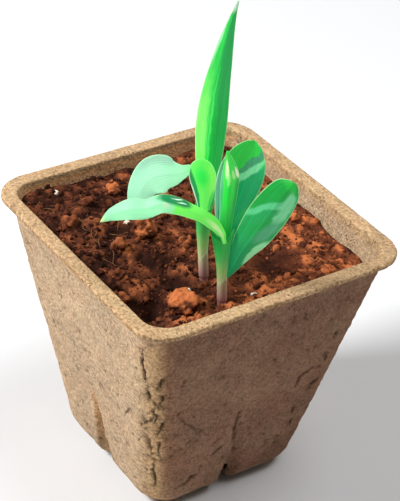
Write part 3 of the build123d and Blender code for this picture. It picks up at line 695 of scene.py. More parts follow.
def soil_finish(soil):
    """Red-brown soil: dark with painted shade in its hollows and holes, orange with painted light on its
    highest crumbs, and paler towards one corner.
    """
    paint = Finish("soil", 0.96, 0.12)
    where = paint.where()
    spots = paint.grain(where, 0.0035, 4.0, 0.65)
    specks = paint.grain(where, 0.0007)
    parts = paint.add("ShaderNodeSeparateXYZ", {0: where}).outputs
    slant = paint.total((parts[0], ALONG.x), (parts[1], ALONG.y))
    dryness = paint.remap(slant, -0.026, 0.036)
    # The stored tone darkens the hollows between crumbs and the holes, and brightens the highest crumbs:
    # painted shade and painted light.
    tone = paint.total((paint.attribute("tone"), 0.85), (spots, 0.62), (dryness, 0.36), (specks, 0.30))
    colour = paint.mix(paint.remap(tone, 0.65, 1.21), solid(soil.dark), solid(soil.middle))
    colour = paint.mix(paint.remap(tone, 1.13, 1.68), colour, solid(soil.bright))
    height = paint.total((spots, 1.0), (specks, 0.5))
    return paint.wear(Base_Color=colour, Normal=paint.bump(height, 0.00045, 0.9))


def mottled_finish(name, low, high, size, roughness, specular, detail=4.0, band=None, relief=0.0):
    """Two screen colours in soft patches."""
    paint = Finish(name, roughness, specular)
    patches = paint.grain(paint.where(), size, detail)
    share = paint.remap(patches, *band) if band else patches
    inputs = {"Base_Color": paint.mix(share, screen(*low), screen(*high))}
    if relief:
        inputs["Normal"] = paint.bump(patches, relief)
    return paint.wear(**inputs)


def leaf_patch(paint, spread, colour, patch):
    """Lays a soft oval of another colour over a leaf's colour."""
    across, along, half_across, half_along, turn, softness, tint = patch
    local = paint.get("ShaderNodeMapping", {
        "Vector": spread, "Location": (across, along, 0), "Rotation": (0, 0, math.radians(turn)),
        "Scale": (half_across, half_along, 1),
    }, vector_type="TEXTURE")
    inside = paint.remap(paint.length(local), 1 + softness, 1 - softness)
    return paint.mix(inside, colour, screen(*tint))


def leaf_finish(name, leaf):
    """A satin leaf: its colours with painted highlights, glare and shade, streaks along the veins, a pale
    edge, a paler underside and a glow of painted light.
    """
    paint = Finish(name, 0.40, 0.25)
    uv, across, along, streaks = paint.streaked(34.0, 1.3)
    noise_inputs = {"Vector": paint.where(), "Scale": PATCH_WANDER_RATE, "Detail": 2.0}
    wander = paint.get("ShaderNodeTexNoise", noise_inputs, "Color")
    shift = paint.vector("SUBTRACT", wander, (0.5, 0.5, 0.5))
    spread = paint.vector("ADD", uv, paint.vector("MULTIPLY", shift, PATCH_WANDER))
    colour = paint.mix(paint.remap(along, 0.15, 0.75), screen(*leaf["foot"]), screen(*leaf["tip"]))
    for patch in leaf["patches"]:
        colour = leaf_patch(paint, spread, colour, patch)
    colour = paint.veined(colour, streaks, LEAF_STREAKS, leaf["veins"])
    rim = paint.math("ABSOLUTE", paint.math("SUBTRACT", across, 0.5))
    colour = paint.mix(paint.times(paint.remap(rim, 0.465, 0.495), 0.40), colour, screen(*LEAF_RIM))
    colour = paint.mix(paint.times(paint.attribute("under"), 0.30), colour, screen(*LEAF_UNDERSIDE))
    ridges = paint.math("SINE", paint.times(across, LEAF_VEINS * 2 * math.pi))
    height = paint.total((ridges, 0.25), (streaks, 1.0))
    # The lamps light this share of the colour; the glow adds painted light in the leaf's own colour.
    sheen = paint.mix(1.0, colour, solid([LEAF_SHEEN] * 3), "MULTIPLY")
    return paint.wear(Base_Color=sheen, Emission_Color=colour, Emission_Strength=leaf["glow"],
                      Normal=paint.bump(height, 0.00012, 0.45), **SOFT_FLESH)


def stem_finish():
    """A young stem: whitish purple at the foot and green above, with fine lines up it, and a faint glow of
    painted light.
    """
    paint = Finish("stem", 0.42, 0.40)
    _, _, along, streaks = paint.streaked(26.0, 1.1)
    colour = paint.veined(paint.ramp(along, STEM_TINTS), streaks, STEM_STREAKS, 1.0)
    # The glow is painted light in the stem's own colour.
    return paint.wear(Base_Color=colour, Emission_Color=colour, Emission_Strength=STEM_GLOW,
                      Normal=paint.bump(streaks, 0.00010, 0.5), **SOFT_FLESH)


def sheath_finish():
    """The thin papery first sheath."""
    paint = Finish("sheath", 0.55, 0.30)
    _, _, along, streaks = paint.streaked(30.0, 1.0)
    pale = paint.remap(streaks, 0.50, 0.80)
    colour = paint.mix(pale, paint.ramp(along, SHEATH_TINTS), screen(*SHEATH_STREAK))
    return paint.wear(Base_Color=colour, Normal=paint.bump(streaks, 0.00010, 0.5))


def floor_finish(stage):
    """A plain pale floor, which glows beyond the reach of the lights."""
    paint = Finish("floor", 0.9, 0.1)
    away = paint.length(paint.where())
    glow = paint.mix(paint.remap(away, *FLOOR_GLOW_BAND), solid((0, 0, 0)), solid(stage.floor))
    return paint.wear(Base_Color=solid(stage.floor), Emission_Color=glow, Emission_Strength=FLOOR_GLOW)


# Mesh helpers


def link_object(name, data):
    """A new object in the scene."""
    made = bpy.data.objects.new(name, data)
    bpy.context.scene.collection.objects.link(made)
    return made


def add_piece(name, mesh, body, material, nodes=()):
    """Puts a finished mesh in the scene, on its body."""
    piece = link_object(name, mesh)
    mesh.materials.clear()
    mesh.materials.append(material)
    mesh.polygons.foreach_set("use_smooth", [True] * len(mesh.polygons))
    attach(piece, body)
    if nodes:
        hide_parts(*nodes)


def plain_mesh(name, verts, edges=(), faces=()):
    """A new mesh."""
    mesh = bpy.data.meshes.new(name)
    mesh.from_pydata(verts, edges, faces)
    mesh.update()
    return mesh


def grid_mesh(name, rows, ring=False):
    """A mesh through closed rows of points. A row of one point closes an end.

    In a ring the last row joins the first.
    """
    starts = np.cumsum([0] + [len(row) for row in rows]).tolist()
    faces = []
    for index in range(len(rows) if ring else len(rows) - 1):
        beyond = (index + 1) % len(rows)
        low, high = len(rows[index]), len(rows[beyond])
        first, second = starts[index], starts[beyond]
        for column in range(max(low, high)):
            following = (column + 1) % max(low, high)
            face = []
            face += [first] if low == 1 else [first + column, first + following]
            face += [second] if high == 1 else [second + following, second + column]
            faces.append(face)
    return plain_mesh(name, [point for row in rows for point in row], faces=faces)


@contextmanager
def edited(mesh):
    """A mesh as a form to edit. What is done to the form goes back into the mesh."""
    form = bmesh.new()
    form.from_mesh(mesh)
    yield form
    form.to_mesh(mesh)
    form.free()
    mesh.update()


def modified_mesh(name, source, kind, settings, inputs):
    """The plain mesh that a modifier makes from a mesh."""
    carrier = link_object(name + "_carrier", source)
    modifier = carrier.modifiers.new(name, kind)
    for key, value in settings.items():
        setattr(modifier, key, value)
    for key, value in inputs.items():
        modifier[key] = value
    depsgraph = bpy.context.evaluated_depsgraph_get()
    mesh = bpy.data.meshes.new_from_object(carrier.evaluated_get(depsgraph), depsgraph=depsgraph)
    mesh.name = name
    carrier.modifiers.remove(modifier)
    bpy.data.objects.remove(carrier)
    return mesh


def remeshed_node(node, cell):
    """A copy of a node's mesh, made of small even faces."""
    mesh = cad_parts[node].data.copy()
    with edited(mesh) as form:
        bmesh.ops.remove_doubles(form, verts=form.verts, dist=MILLIMETRE / 1000)
    mesh.materials.clear()
    made = modified_mesh(node + "_fine", mesh, "REMESH", {"mode": "VOXEL", "voxel_size": cell}, {})
    bpy.data.meshes.remove(mesh)
    return made


def vectors_of(items, name):
    """A vector of each item of a mesh, as the rows of an array."""
    values = np.empty(len(items) * 3)
    items.foreach_get(name, values)
    return values.reshape(-1, 3)


def points_of(mesh):
    """The vertices of a mesh as an array."""
    return vectors_of(mesh.vertices, "co")


def normals_of(mesh):
    """The vertex normals of a mesh as an array."""
    return vectors_of(mesh.vertex_normals, "vector")


def move_points(mesh, points):
    """Sets the vertices of a mesh from an array."""
    mesh.vertices.foreach_set("co", points.ravel())
    mesh.update()


def keep_values(mesh, **layers):
    """Stores values for each vertex."""
    for name, values in layers.items():
        layer = mesh.attributes.new(name, "FLOAT", "POINT")
        layer.data.foreach_set("value", np.asarray(values, dtype=np.float32))


def limited(values):
    """Values kept between 0 and 1."""
    return np.clip(values, 0, 1)


def bell(away):
    """1 at no distance, falling smoothly to 0."""
    return np.exp(-away ** 2)


def flat_distance(points, spot):
    """How far points lie from a place, seen from above."""
    return np.linalg.norm(points[:, :2] - np.array(spot)[:2], axis=1)


def waves(points, size, octaves=1):
    """Smooth noise from -1 to 1, with features about one size across."""
    return np.array([noise.fractal(Vector(p), 0.7, 2.0, octaves) for p in points / size])


def wandering(points, size, octaves, start=1.0):
    """Smooth noise in three directions."""
    return np.stack([waves(points + (start + shift), size, octaves) for shift in (0, 2, 4)], axis=1)


def crumbs(points, size, seed):
    """Round lumps packed side by side, from 0 between them to 1 on the highest."""
    table = np.random.default_rng(seed).random((31, 31, 31, 4))
    cells = np.floor(points / size).astype(int)
    nearest = np.full(len(points), 9.0)
    lift = np.zeros(len(points))
    for step in np.ndindex(3, 3, 3):
        there = cells + np.array(step) - 1
        drawn = table[tuple((there % 31).T)]
        away = np.linalg.norm(there + drawn[:, :3] - points / size, axis=1)
        closer = away < nearest
        nearest = np.where(closer, away, nearest)
        lift = np.where(closer, drawn[:, 3], lift)
    return (0.35 + 0.65 * lift) * limited(1 - (nearest / 0.85) ** 2)


@lru_cache
def tree_of(node):
    """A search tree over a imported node."""
    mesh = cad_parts[node].data
    return BVHTree.FromPolygons([v.co for v in mesh.vertices], [tuple(f.vertices) for f in mesh.polygons])


# The photograph's camera


def camera_axes():
    """The camera's right, up and back, from its heading, elevation and roll."""
    heading, elevation, roll = (math.radians(a) for a in (CAMERA_HEADING, CAMERA_ELEVATION, CAMERA_ROLL))
    level = math.cos(elevation)
    back = Vector((math.sin(heading) * level, -math.cos(heading) * level, math.sin(elevation)))
    sideways = UP.cross(back).normalized()
    right = sideways * math.cos(roll) + back.cross(sideways) * math.sin(roll)
    return right, back.cross(right), back


def seen_at(pixel, tree):
    """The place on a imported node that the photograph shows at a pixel."""
    right, up, back = camera_axes()
    focal = CAMERA_LENS / CAMERA_SENSOR * PHOTO_SIZE[1]
    across = pixel[0] - PHOTO_SIZE[0] / 2
    down = pixel[1] - PHOTO_SIZE[1] / 2
    ray = (right * across - up * down - back * focal).normalized()
    return tree.ray_cast(CAMERA_EYE, ray)[0]


# The pot


def crease_lines():
    """The photographed creases as lines on the pot, and each one again on one of the far walls."""
    tree = tree_of("pot_shell")
    lines = []
    for index, (half_width, depth, pixels) in enumerate(CREASES):
        seen = [seen_at(pixel, tree) for pixel in pixels]
        line = [p for p in seen if p is not None]
        if len(line) > 1:
            far = [Vector((p.y, p.x, p.z) if index % 2 else (-p.x, -p.y, p.z)) for p in line]
            lines.append((half_width * MILLIMETRE, depth * MILLIMETRE, line))
            lines.append((half_width * MILLIMETRE, FAR_CREASE * depth * MILLIMETRE, far))
    return lines


def line_distance(points, line):
    """How far points lie from a line through several places, and how far along it, from 0 to 1."""
    best = np.full(len(points), 1.0)
    along = np.zeros(len(points))
    for index, (low, high) in enumerate(zip(line, line[1:])):
        start = np.array(low)
        span = np.array(high) - start
        share = limited((points - start) @ span / (span @ span))
        away = np.linalg.norm(points - start - share[:, None] * span, axis=1)
        along = np.where(away < best, (index + share) / (len(line) - 1), along)
        best = np.minimum(best, away)
    return best, along


def refine_along(mesh, lines, band, level):
    """Halves the faces in a band along the creases and above a level, at the rim."""
    centres = vectors_of(mesh.polygons, "center")
    near = centres[:, 2] > level
    for _, _, line in lines:
        near |= line_distance(centres, line)[0] < band
    with edited(mesh) as form:
        form.faces.ensure_lookup_table()
        edges = {edge for index in np.flatnonzero(near) for edge in form.faces[int(index)].edges}
        bmesh.ops.subdivide_edges(form, edges=list(edges), cuts=1, use_grid_fill=True)
        bmesh.ops.triangulate(form, faces=[face for face in form.faces if len(face.verts) > 4])


def settle_on(mesh, node):
    """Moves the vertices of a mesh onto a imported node."""
    tree = tree_of(node)
    move_points(mesh, np.array([tree.find_nearest(Vector(p))[0] for p in points_of(mesh)]))


def pit_hollows(points, wall, count):
    """How deep each point lies in one of the pits, from 0 to 1."""
    draw = np.random.default_rng(PIT_SEED)
    pits = points[draw.choice(np.flatnonzero(wall), count)]
    hollow = np.zeros(len(points))
    for pit, size in zip(pits, draw.uniform(*PIT_SIZES, count) * MILLIMETRE):
        near = np.flatnonzero(np.abs(points - pit).max(axis=1) < 2.5 * size)
        away = np.linalg.norm(points[near] - pit, axis=1) / size
        hollow[near] = np.maximum(hollow[near], bell(away))
    return hollow


def press_fibre(mesh, pot, lines):
    """Gives the pot's surface its unevenness, lumps, pits and creases. Keeps where its tints, painted light
    and painted shade lie.
    """
    points = points_of(mesh)
    normals = normals_of(mesh)
    low, high = (np.array(corner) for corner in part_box("pot_shell"))
    below = (high[2] - points[:, 2]) / MILLIMETRE
    outwards = np.einsum("ij,ij->i", normals[:, :2], points[:, :2]) > 0
    wall = below > WALL_START
    calm = np.where(~outwards & wall, 0.35, 1.0)
    standing = limited(points[:, 2] / EVEN_FOOT)
    steady = np.clip((below - 1) / 6, 0.30, 1)
    corner = bell((np.abs(points[:, 0]) - np.abs(points[:, 1])) / CORNER_WIDTH) * outwards * steady
    raised = pot.sag * waves(points, SAG_SPAN, 2) * standing * steady
    raised += pot.lump * waves(points, LUMP_SPAN, 3) * steady
    raised += pot.lump * (0.6 + 1.3 * corner) * waves(points + 7.0, FINE_SPAN, 2) * steady
    pits = pit_hollows(points, wall, pot.pit_count)
    raised = (raised - pot.pit * pits) * calm
    # Painted shade in the pits.
    hollow = 0.70 * pits
    rough = wandering(points, RAGGED_SPAN, 2)
    ragged = points + CREASE_RAGGED * rough
    for half_width, depth, line in lines:
        away, along = line_distance(ragged, line)
        taper = np.sin(math.pi * np.clip(along, 0.05, 0.95)) ** 0.5
        width = half_width * (0.60 + 0.70 * taper) * (1 + 0.35 * rough[:, 1])
        shape = bell(away / width) * outwards * taper
        bank = bell((away - 2.5 * width) / width) * outwards * taper
        raised += depth * (0.12 * bank - shape)
        # Painted shade in the creases.
        hollow = np.maximum(hollow, shape ** 0.6 * min(1, depth / DARK_CREASE))
    patchy = waves(points + 9.0, SEAM_SPAN, 3)
    # A groove under the lip, darkened with painted shadow.
    under_lip = bell((below - SEAM_LEVEL - 0.6 * rough[:, 0]) / SEAM_WIDTH)
    seam = under_lip * outwards * limited(0.65 + 1.1 * patchy)
    raised -= SEAM_DEPTH * seam
    hollow = np.maximum(hollow, 0.85 * seam)
    sideways = limited(1.6 * np.linalg.norm(normals[:, :2], axis=1) - 0.6)
    bark = limited(1.5 - below / 1.5) * outwards * sideways
    bark = np.maximum(bark, 0.55 * corner * limited(0.45 + 1.2 * patchy))
    # Painted shade on the outer wall that faces +x.
    facing = limited((points[:, 0] - np.abs(points[:, 1])) / DAMP_EDGE - 0.3) * outwards * sideways
    facing *= limited((below - 1.7) / 0.6)
    # Painted light on the inner wall that faces +x, which lies in shade.
    warm = ~outwards * (below > 1.5) * limited(2 * normals[:, 0] - 0.6)
    # Painted light on the shaded side of the near groove.
    groove = limited(1.6 - np.abs(points[:, 0]) / GROOVE_WIDTH) * outwards * (points[:, 1] < 0)
    groove *= limited(2.2 * normals[:, 0]) * (points[:, 2] < GROOVE_TOP)
    # The painted shade, mottled.
    damp = limited(facing * (0.92 + 0.12 * waves(points, DAMP_SPAN, 2)))
    # Gold at the corners and the rim is the fibre's own; in the near groove it is painted light.
    gold = np.maximum(np.maximum(0.8 * corner, 0.55 * (below < 2.2)), 0.6 * groove)
    moved = points + normals * raised[:, None]
    moved[:, 2] = np.maximum(moved[:, 2], low[2])
    move_points(mesh, moved)
    keep_values(mesh, hollow=hollow, bark=bark, warm=np.maximum(warm, 0.35 * groove), gold=gold, damp=damp)


class FIBREPOT_OT_pot(bpy.types.Operator):
    """Makes the pressed-fibre pot"""

    bl_idname = "fibrepot.pot"
    bl_label = "Pot"

    def execute(self, context):
        pot = context.scene.fibre_pot
        mesh = remeshed_node("pot_shell", pot.cell)
        lines = crease_lines()
        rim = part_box("pot_shell")[1].z
        for band, level in zip(CREASE_BANDS, (rim - LIP_HEIGHT, rim)):
            refine_along(mesh, lines, band, level)
        settle_on(mesh, "pot_shell")
        press_fibre(mesh, pot, lines)
        add_piece("fibre_pot", mesh, "pot", pressed_fibre(pot), ["pot_shell"])
        return {"FINISHED"}


# The soil


def soil_brim(tree, high, bearings):
    """The edge of the packed soil's top, in each direction."""
    brim = []
    for bearing in bearings:
        for level in np.arange(high.z, high.z - BRIM_REACH, -BRIM_STEP):
            hit, normal, _, _ = tree.ray_cast(bearing * 4 * high.z + UP * level, -bearing)
            if hit is not None and hit.xy.length > 0.9 * high.x and normal.z < 0.6:
                brim.append(hit)
                break
    return brim


def soil_rows(columns):
    """Rings of points over the packed soil: across the top, down the sides and under the foot."""
    tree = tree_of("soil_plug")
    low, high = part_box("soil_plug")
    far = 4 * high.z
    angles = np.linspace(0, 2 * math.pi, columns, endpoint=False)
    bearings = [Vector((math.cos(angle), math.sin(angle), 0)) for angle in angles]
    brim = soil_brim(tree, high, bearings)
    top_rings = round(high.x / SOIL_TOP_STEP)
    rows = [[tree.ray_cast(UP * far, -UP)[0]]]
    for ring in range(1, top_rings + 1):
        share = ring / top_rings * 0.998
        rows.append([tree.ray_cast(Vector((edge.x * share, edge.y * share, far)), -UP)[0] for edge in brim])
    side_rings = round((high.z - low.z) / SOIL_SIDE_STEP)
    for ring in range(1, side_rings + 1):
        share = ring / side_rings
        row = []
        for edge, bearing, above in zip(brim, bearings, rows[-1]):
            level = edge.z + (low.z + SOIL_FOOT_GAP - edge.z) * share
            hit = tree.ray_cast(bearing * far + UP * level, -bearing)[0]
            row.append(hit if hit is not None else Vector(above))
        rows.append(row)
    foot = rows[-1]
    for share in SOIL_FOOT_RINGS:
        rows.append([Vector((p.x * share, p.y * share, low.z)) for p in foot])
    rows.append([Vector((0, 0, low.z))])
    return rows, top_rings


def dryness_at(points):
    """How much paler the soil is at each point, from its pale places; on the front clod this is painted
    light.
    """
    tree = tree_of("soil_plug")
    dryness = np.zeros(len(points))
    for pixel, size, strength in SOIL_DRY:
        dryness += strength * bell(flat_distance(points, seen_at(pixel, tree)) / (size * MILLIMETRE))
    return dryness


def crumble(mesh, soil, top_count, columns):
    """Raises crumbs on the soil's top and breaks up its sides. Keeps where loose crumbs may lie, and a tone
    with painted shade low down and painted light on the highest crumbs.
    """
    points = points_of(mesh)
    top = np.arange(len(points)) < top_count
    side = ~top
    radius = np.linalg.norm(points[:, :2], axis=1)
    brim = np.tile(radius[top_count - columns:top_count], len(points) // columns + 1)
    edge = np.zeros(len(points))
    edge[1:top_count] = brim[:top_count - 1] - radius[1:top_count]
    edge[0] = brim[0]
    rough = wandering(points, SOIL_ROUGH_SPAN, 3)
    broken = points + SOIL_BREAK * rough
    lumps = sum(strength * crumbs(broken, size, seed) for strength, size, seed in SOIL_LUMPS)
    lumps += 0.20 * rough[:, 0] + 0.25 * waves(points, SOIL_SWELL_SPAN, 2)
    low, middle, high = np.percentile(lumps[top], (4, 40, 97))
    # The tone follows the crumbs' height: painted shade in the hollows, painted light on the highest crumbs.
    tone = limited((lumps - low) / (high - low))
    lumps -= middle * 0.55
    fade = np.clip(edge / SOIL_FADE, 0.25, 1.0)
    moved = points.copy()
    moved[top, 2] += (soil.crumb * lumps * fade)[top]
    depth = limited((points[top_count - columns, 2] - points[:, 2]) / SOIL_CARVE_START)
    carve = SOIL_CARVE * (1 - tone) * depth
    tone = np.where(top, tone, 0.30 + 0.46 * tone)
    moved[side, :2] *= (1 - carve / np.maximum(radius, MILLIMETRE))[side, None]
    tree = tree_of("soil_plug")
    bare = side.copy()
    for pixel, size, fall in SOIL_HOLES:
        hole = bell(flat_distance(broken, seen_at(pixel, tree)) / (size * MILLIMETRE)) * top
        moved[:, 2] -= fall * MILLIMETRE * hole
        # Painted shade in the holes, and the shadow of the right leaf painted on the soil.
        tone = tone * (1 - 0.95 * hole)
        bare |= hole > 0.5
    # The pale places; on the front clod this is painted light.
    tone = tone * (1 + dryness_at(broken) * top)
    for foot, _, _ in STEMS.values():
        edge = np.minimum(edge, flat_distance(points, foot) - STEM_ROOM)
    move_points(mesh, moved)
    keep_values(mesh, tone=tone, edge=np.where(bare, 0, edge))


def node_tree(name, inputs, output):
    """A new geometry node tree: its board, its inputs and their identifiers."""
    tree = bpy.data.node_groups.new(name, "GeometryNodeTree")
    sockets = {}
    for label, kind in inputs.items():
        made = tree.interface.new_socket(label, in_out="INPUT", socket_type="NodeSocket" + kind)
        sockets[label] = made.identifier
    tree.interface.new_socket(output, in_out="OUTPUT", socket_type="NodeSocketGeometry")
    board = Board(tree)
    return board, board.add("NodeGroupInput").outputs, sockets


def close_tree(board, geometry, given):
    """Ends a node tree in plain geometry with its finish."""
    real = board.get("GeometryNodeRealizeInstances", {0: geometry})
    coloured = board.get("GeometryNodeSetMaterial", {"Geometry": real, "Material": given["Finish"]})
    board.add("NodeGroupOutput", {0: coloured})


def node_made(name, source, board, sockets, values):
    """The plain mesh that a node tree makes from a mesh."""
    inputs = {sockets[label]: value for label, value in values.items()}
    return modified_mesh(name, source, "NODES", {"node_group": board.tree}, inputs)


def crumb_shape(board, given, index):
    """One lump, rough all over."""
    ball = board.get("GeometryNodeMeshUVSphere",
                     {"Segments": given["Sides"], "Rings": given["Rings"], "Radius": 1.0})
    spot = board.get("GeometryNodeInputPosition")
    rough = board.grain(board.vector("ADD", spot, (9.0 * index, 0.0, 0.0)), 1 / 1.5, 3.0)
    swell = board.times(board.math("SUBTRACT", rough, 0.56), 2.5)
    return board.get("GeometryNodeSetPosition", {"Geometry": ball, "Offset": board.scaled(spot, swell)})


def loose_crumb_tree():
    """A node tree that scatters small lumps over a surface."""
    board, given, sockets = node_tree("loose_crumbs", {
        "Surface": "Geometry", "Density": "Float", "Smallest": "Float", "Largest": "Float", "Sides": "Int",
        "Rings": "Int", "Seed": "Int", "Finish": "Material",
    }, "Crumbs")
    edge = board.get("GeometryNodeInputNamedAttribute", {"Name": "edge"}, data_type="FLOAT")
    clear = board.get("FunctionNodeCompare", {0: edge, 1: given["Largest"]}, data_type="FLOAT",
                      operation="GREATER_THAN")
    points = board.get("GeometryNodeDistributePointsOnFaces", {
        "Mesh": given["Surface"], "Selection": clear, "Density": given["Density"], "Seed": given["Seed"],
    })
    shapes = board.add("GeometryNodeJoinGeometry")
    for index in range(CRUMB_SHAPES):
        single = board.get("GeometryNodeGeometryToInstance", {0: crumb_shape(board, given, index)})
        board.feed(shapes.inputs[0], single)
    choice = board.random(1, 0, CRUMB_SHAPES - 1, "INT")
    turn = board.random(2, (0, 0, 0), (6.3, 6.3, 6.3), "FLOAT_VECTOR")
    size = board.get("ShaderNodeMapRange", {
        0: board.math("POWER", board.random(3, 0.0, 1.0), 2.5), 3: given["Smallest"], 4: given["Largest"],
    })
    squash = board.random(5, (0.6, 0.6, 0.6), (1.3, 1.2, 1.0), "FLOAT_VECTOR")
    lumps = board.get("GeometryNodeInstanceOnPoints", {
        "Points": points, "Instance": shapes.outputs[0], "Pick Instance": True, "Instance Index": choice,
        "Rotation": board.get("FunctionNodeEulerToRotation", {0: turn}), "Scale": board.scaled(squash, size),
    })
    tone = board.random(4, 0.05, 0.90)
    toned = board.get("GeometryNodeStoreNamedAttribute", {"Geometry": lumps, "Name": "tone", "Value": tone},
                      data_type="FLOAT", domain="INSTANCE")
    close_tree(board, toned, given)
    return board, sockets


class FIBREPOT_OT_soil(bpy.types.Operator):
    """Makes the block of soil with its crumbly top"""

    bl_idname = "fibrepot.soil"
    bl_label = "Soil"

    def execute(self, context):
        soil = context.scene.fibre_pot_soil
        rows, top_rings = soil_rows(soil.columns)
        mesh = grid_mesh("soil_block", rows)
        crumble(mesh, soil, 1 + top_rings * soil.columns, soil.columns)
        add_piece("soil_block", mesh, "plug", soil_finish(soil), ["soil_plug"])
        return {"FINISHED"}


class FIBREPOT_OT_crumbs(bpy.types.Operator):
    """Scatters loose crumbs over the soil"""

    bl_idname = "fibrepot.crumbs"
    bl_label = "Loose crumbs"

    def execute(self, context):
        board, sockets = loose_crumb_tree()
        colour = bpy.data.materials["soil_finish"]
        ground = bpy.data.objects["soil_block"].data
        for name, (smallest, largest, sides, rings, seed) in LOOSE_CRUMBS.items():
            density = getattr(context.scene.fibre_pot_soil, name)
            mesh = node_made(name, ground, board, sockets, {
                "Density": density, "Smallest": smallest, "Largest": largest, "Sides": sides, "Rings": rings,
                "Seed": seed, "Finish": colour,
            })
            add_piece(name, mesh, "plug", colour)
        return {"FINISHED"}


class FIBREPOT_OT_clods(bpy.types.Operator):
    """Makes the loose clods and the pale grains"""

    bl_idname = "fibrepot.clods"
    bl_label = "Clods and grains"

    def execute(self, context):
        clods = remeshed_node("soil_clods", CLOD_CELL)
        points = points_of(clods)
        normals = normals_of(clods)
        rough = wandering(points, CLOD_ROUGH_SPAN, 3, 2.0)
        broken = points + CLOD_BREAK * rough
        lumps = sum(strength * crumbs(broken, size, seed) for strength, size, seed in CLOD_LUMPS)
        lumps += 0.4 * rough[:, 0]
        move_points(clods, points + normals * (CLOD_RELIEF * (lumps - 0.42))[:, None])
        # Hollows of the clods are darker and faces that look up brighter: painted shade and painted light.
        # The pale places add to it.
        tone = limited(0.10 + 0.74 * lumps + 0.36 * normals[:, 2]) * (1 + dryness_at(points))
        keep_values(clods, tone=tone)
        add_piece("loose_clods", clods, "plug", bpy.data.materials["soil_finish"], ["soil_clods"])
        grains = remeshed_node("pale_grains", GRAIN_CELL)
        points = points_of(grains)
        rough = crumbs(points, 0.0008, 19) + 0.5 * waves(points, 0.0009, 2)
        move_points(grains, points + normals_of(grains) * (GRAIN_RELIEF * (rough - 0.4))[:, None])
        pale = mottled_finish("grain", (205, 175, 150), (244, 238, 228), 0.0009, 0.6, 0.4, relief=0.0002)
        add_piece("mineral_grains", grains, "plug", pale, ["pale_grains"])
        return {"FINISHED"}


def strand_tree():
    """A node tree that gives lines a round thickness."""
    inputs = {"Lines": "Geometry", "Radius": "Float", "Finish": "Material"}
    board, given, sockets = node_tree("strands", inputs, "Strands")
    curves = board.get("GeometryNodeMeshToCurve", {"Mesh": given["Lines"]})
    ring = board.get("GeometryNodeCurvePrimitiveCircle", {"Resolution": 5, "Radius": given["Radius"]})
    tubes = board.get("GeometryNodeCurveToMesh", {"Curve": curves, "Profile Curve": ring, "Fill Caps": True})
    close_tree(board, tubes, given)
    return board, sockets


def strand_lines(count):
    """Short winding lines that lie on the soil, most of them towards one corner."""
    tree = BVHTree.FromObject(bpy.data.objects["soil_block"], bpy.context.evaluated_depsgraph_get())
    draw = np.random.default_rng(STRAND_SEED)
    verts, edges = [], []
    for _ in range(count):
        heading = draw.uniform(0, 2 * math.pi)
        spot = STRAND_MIDDLE + Vector([draw.normal(0, spread) for spread in STRAND_SPREAD] + [0])
        bend = draw.normal(0, STRAND_BEND)
        step = draw.uniform(*STRAND_STEP) * MILLIMETRE
        lift = draw.uniform(*STRAND_LIFT) * MILLIMETRE
        line = []
        for index in range(STRAND_STEPS):
            hit = tree.ray_cast(Vector((spot.x, spot.y, STRAND_FROM)), -UP)[0]
            if hit is None or max(abs(spot.x), abs(spot.y)) > STRAND_LIMIT:
                break
            rise = math.sin(math.pi * index / (STRAND_STEPS - 1))
            line.append(hit + UP * (STRAND_REST + lift * rise))
            heading += bend * 0.5 + draw.normal(0, STRAND_WOBBLE)
            spot = spot + Vector((math.cos(heading), math.sin(heading), 0)) * step
        beside = [line[max(0, i - 1):i + 2] for i in range(len(line))]
        edges += [(len(verts) + i, len(verts) + i + 1) for i in range(len(line) - 1)]
        verts += [sum(three, Vector()) / len(three) for three in beside]
    return plain_mesh("strand_lines", verts, edges)


class FIBREPOT_OT_strands(bpy.types.Operator):
    """Lays fibre strands on the soil"""

    bl_idname = "fibrepot.strands"
    bl_label = "Fibre strands"

    def execute(self, context):
        board, sockets = strand_tree()
        colour = mottled_finish("strand", (70, 38, 20), (178, 124, 78), 0.0016, 0.8, 0.2, detail=3.0)
        lines = strand_lines(context.scene.fibre_pot_soil.strands)
        mesh = node_made("fibre_strands", lines, board, sockets, {"Radius": STRAND_RADIUS, "Finish": colour})
        add_piece("fibre_strands", mesh, "plug", colour)
        return {"FINISHED"}


# The seedlings


def fan_vector(along, across, up):
    """A vector from its parts along the fan, across the fan and up."""
    return ALONG * along + ACROSS * across + UP * up


def smooth_rows(rows, steps):
    """The rows of a table with rows between them on a smooth curve through all of them."""
    ends = [rows[0], *rows, rows[-1]]
    smooth = []
    for before, low, high, after in zip(ends, ends[1:], ends[2:], ends[3:]):
        for step in range(steps):
            part = step / steps
            smooth.append(tuple(
                b + part * (c - a) / 2
                + part ** 2 * (a - 5 * b / 2 + 2 * c - d / 2)
                + part ** 3 * (3 * b - 3 * c + d - a) / 2
                for a, b, c, d in zip(before, low, high, after)
            ))
    return [*smooth, rows[-1]]


def stem_station(stem, share):
    """The centre and radius of a stem at a share of its height above the soil."""
    foot, height, lean = STEMS[stem]
    if share <= 0:
        return foot + UP * height * share, STEM_RADIUS
    for low, high in zip(STEM_SHARES, STEM_SHARES[1:]):
        if share <= high[0]:
            break
    part = (share - low[0]) / (high[0] - low[0])
    lean_share, girth_share = (low[i] + (high[i] - low[i]) * part for i in (1, 2))
    return foot + fan_vector(lean * lean_share, 0, height * share), STEM_RADIUS * girth_share


def keep_spread(mesh, across, along):
    """Stores a place across and along for each corner, from values on the vertices."""
    layer = mesh.uv_layers.new(name="leaf")
    spots = [c.vertex_index for c in mesh.loops]
    pairs = np.stack([np.asarray(across)[spots], np.asarray(along)[spots]], axis=1)
    layer.data.foreach_set("uv", pairs.ravel())


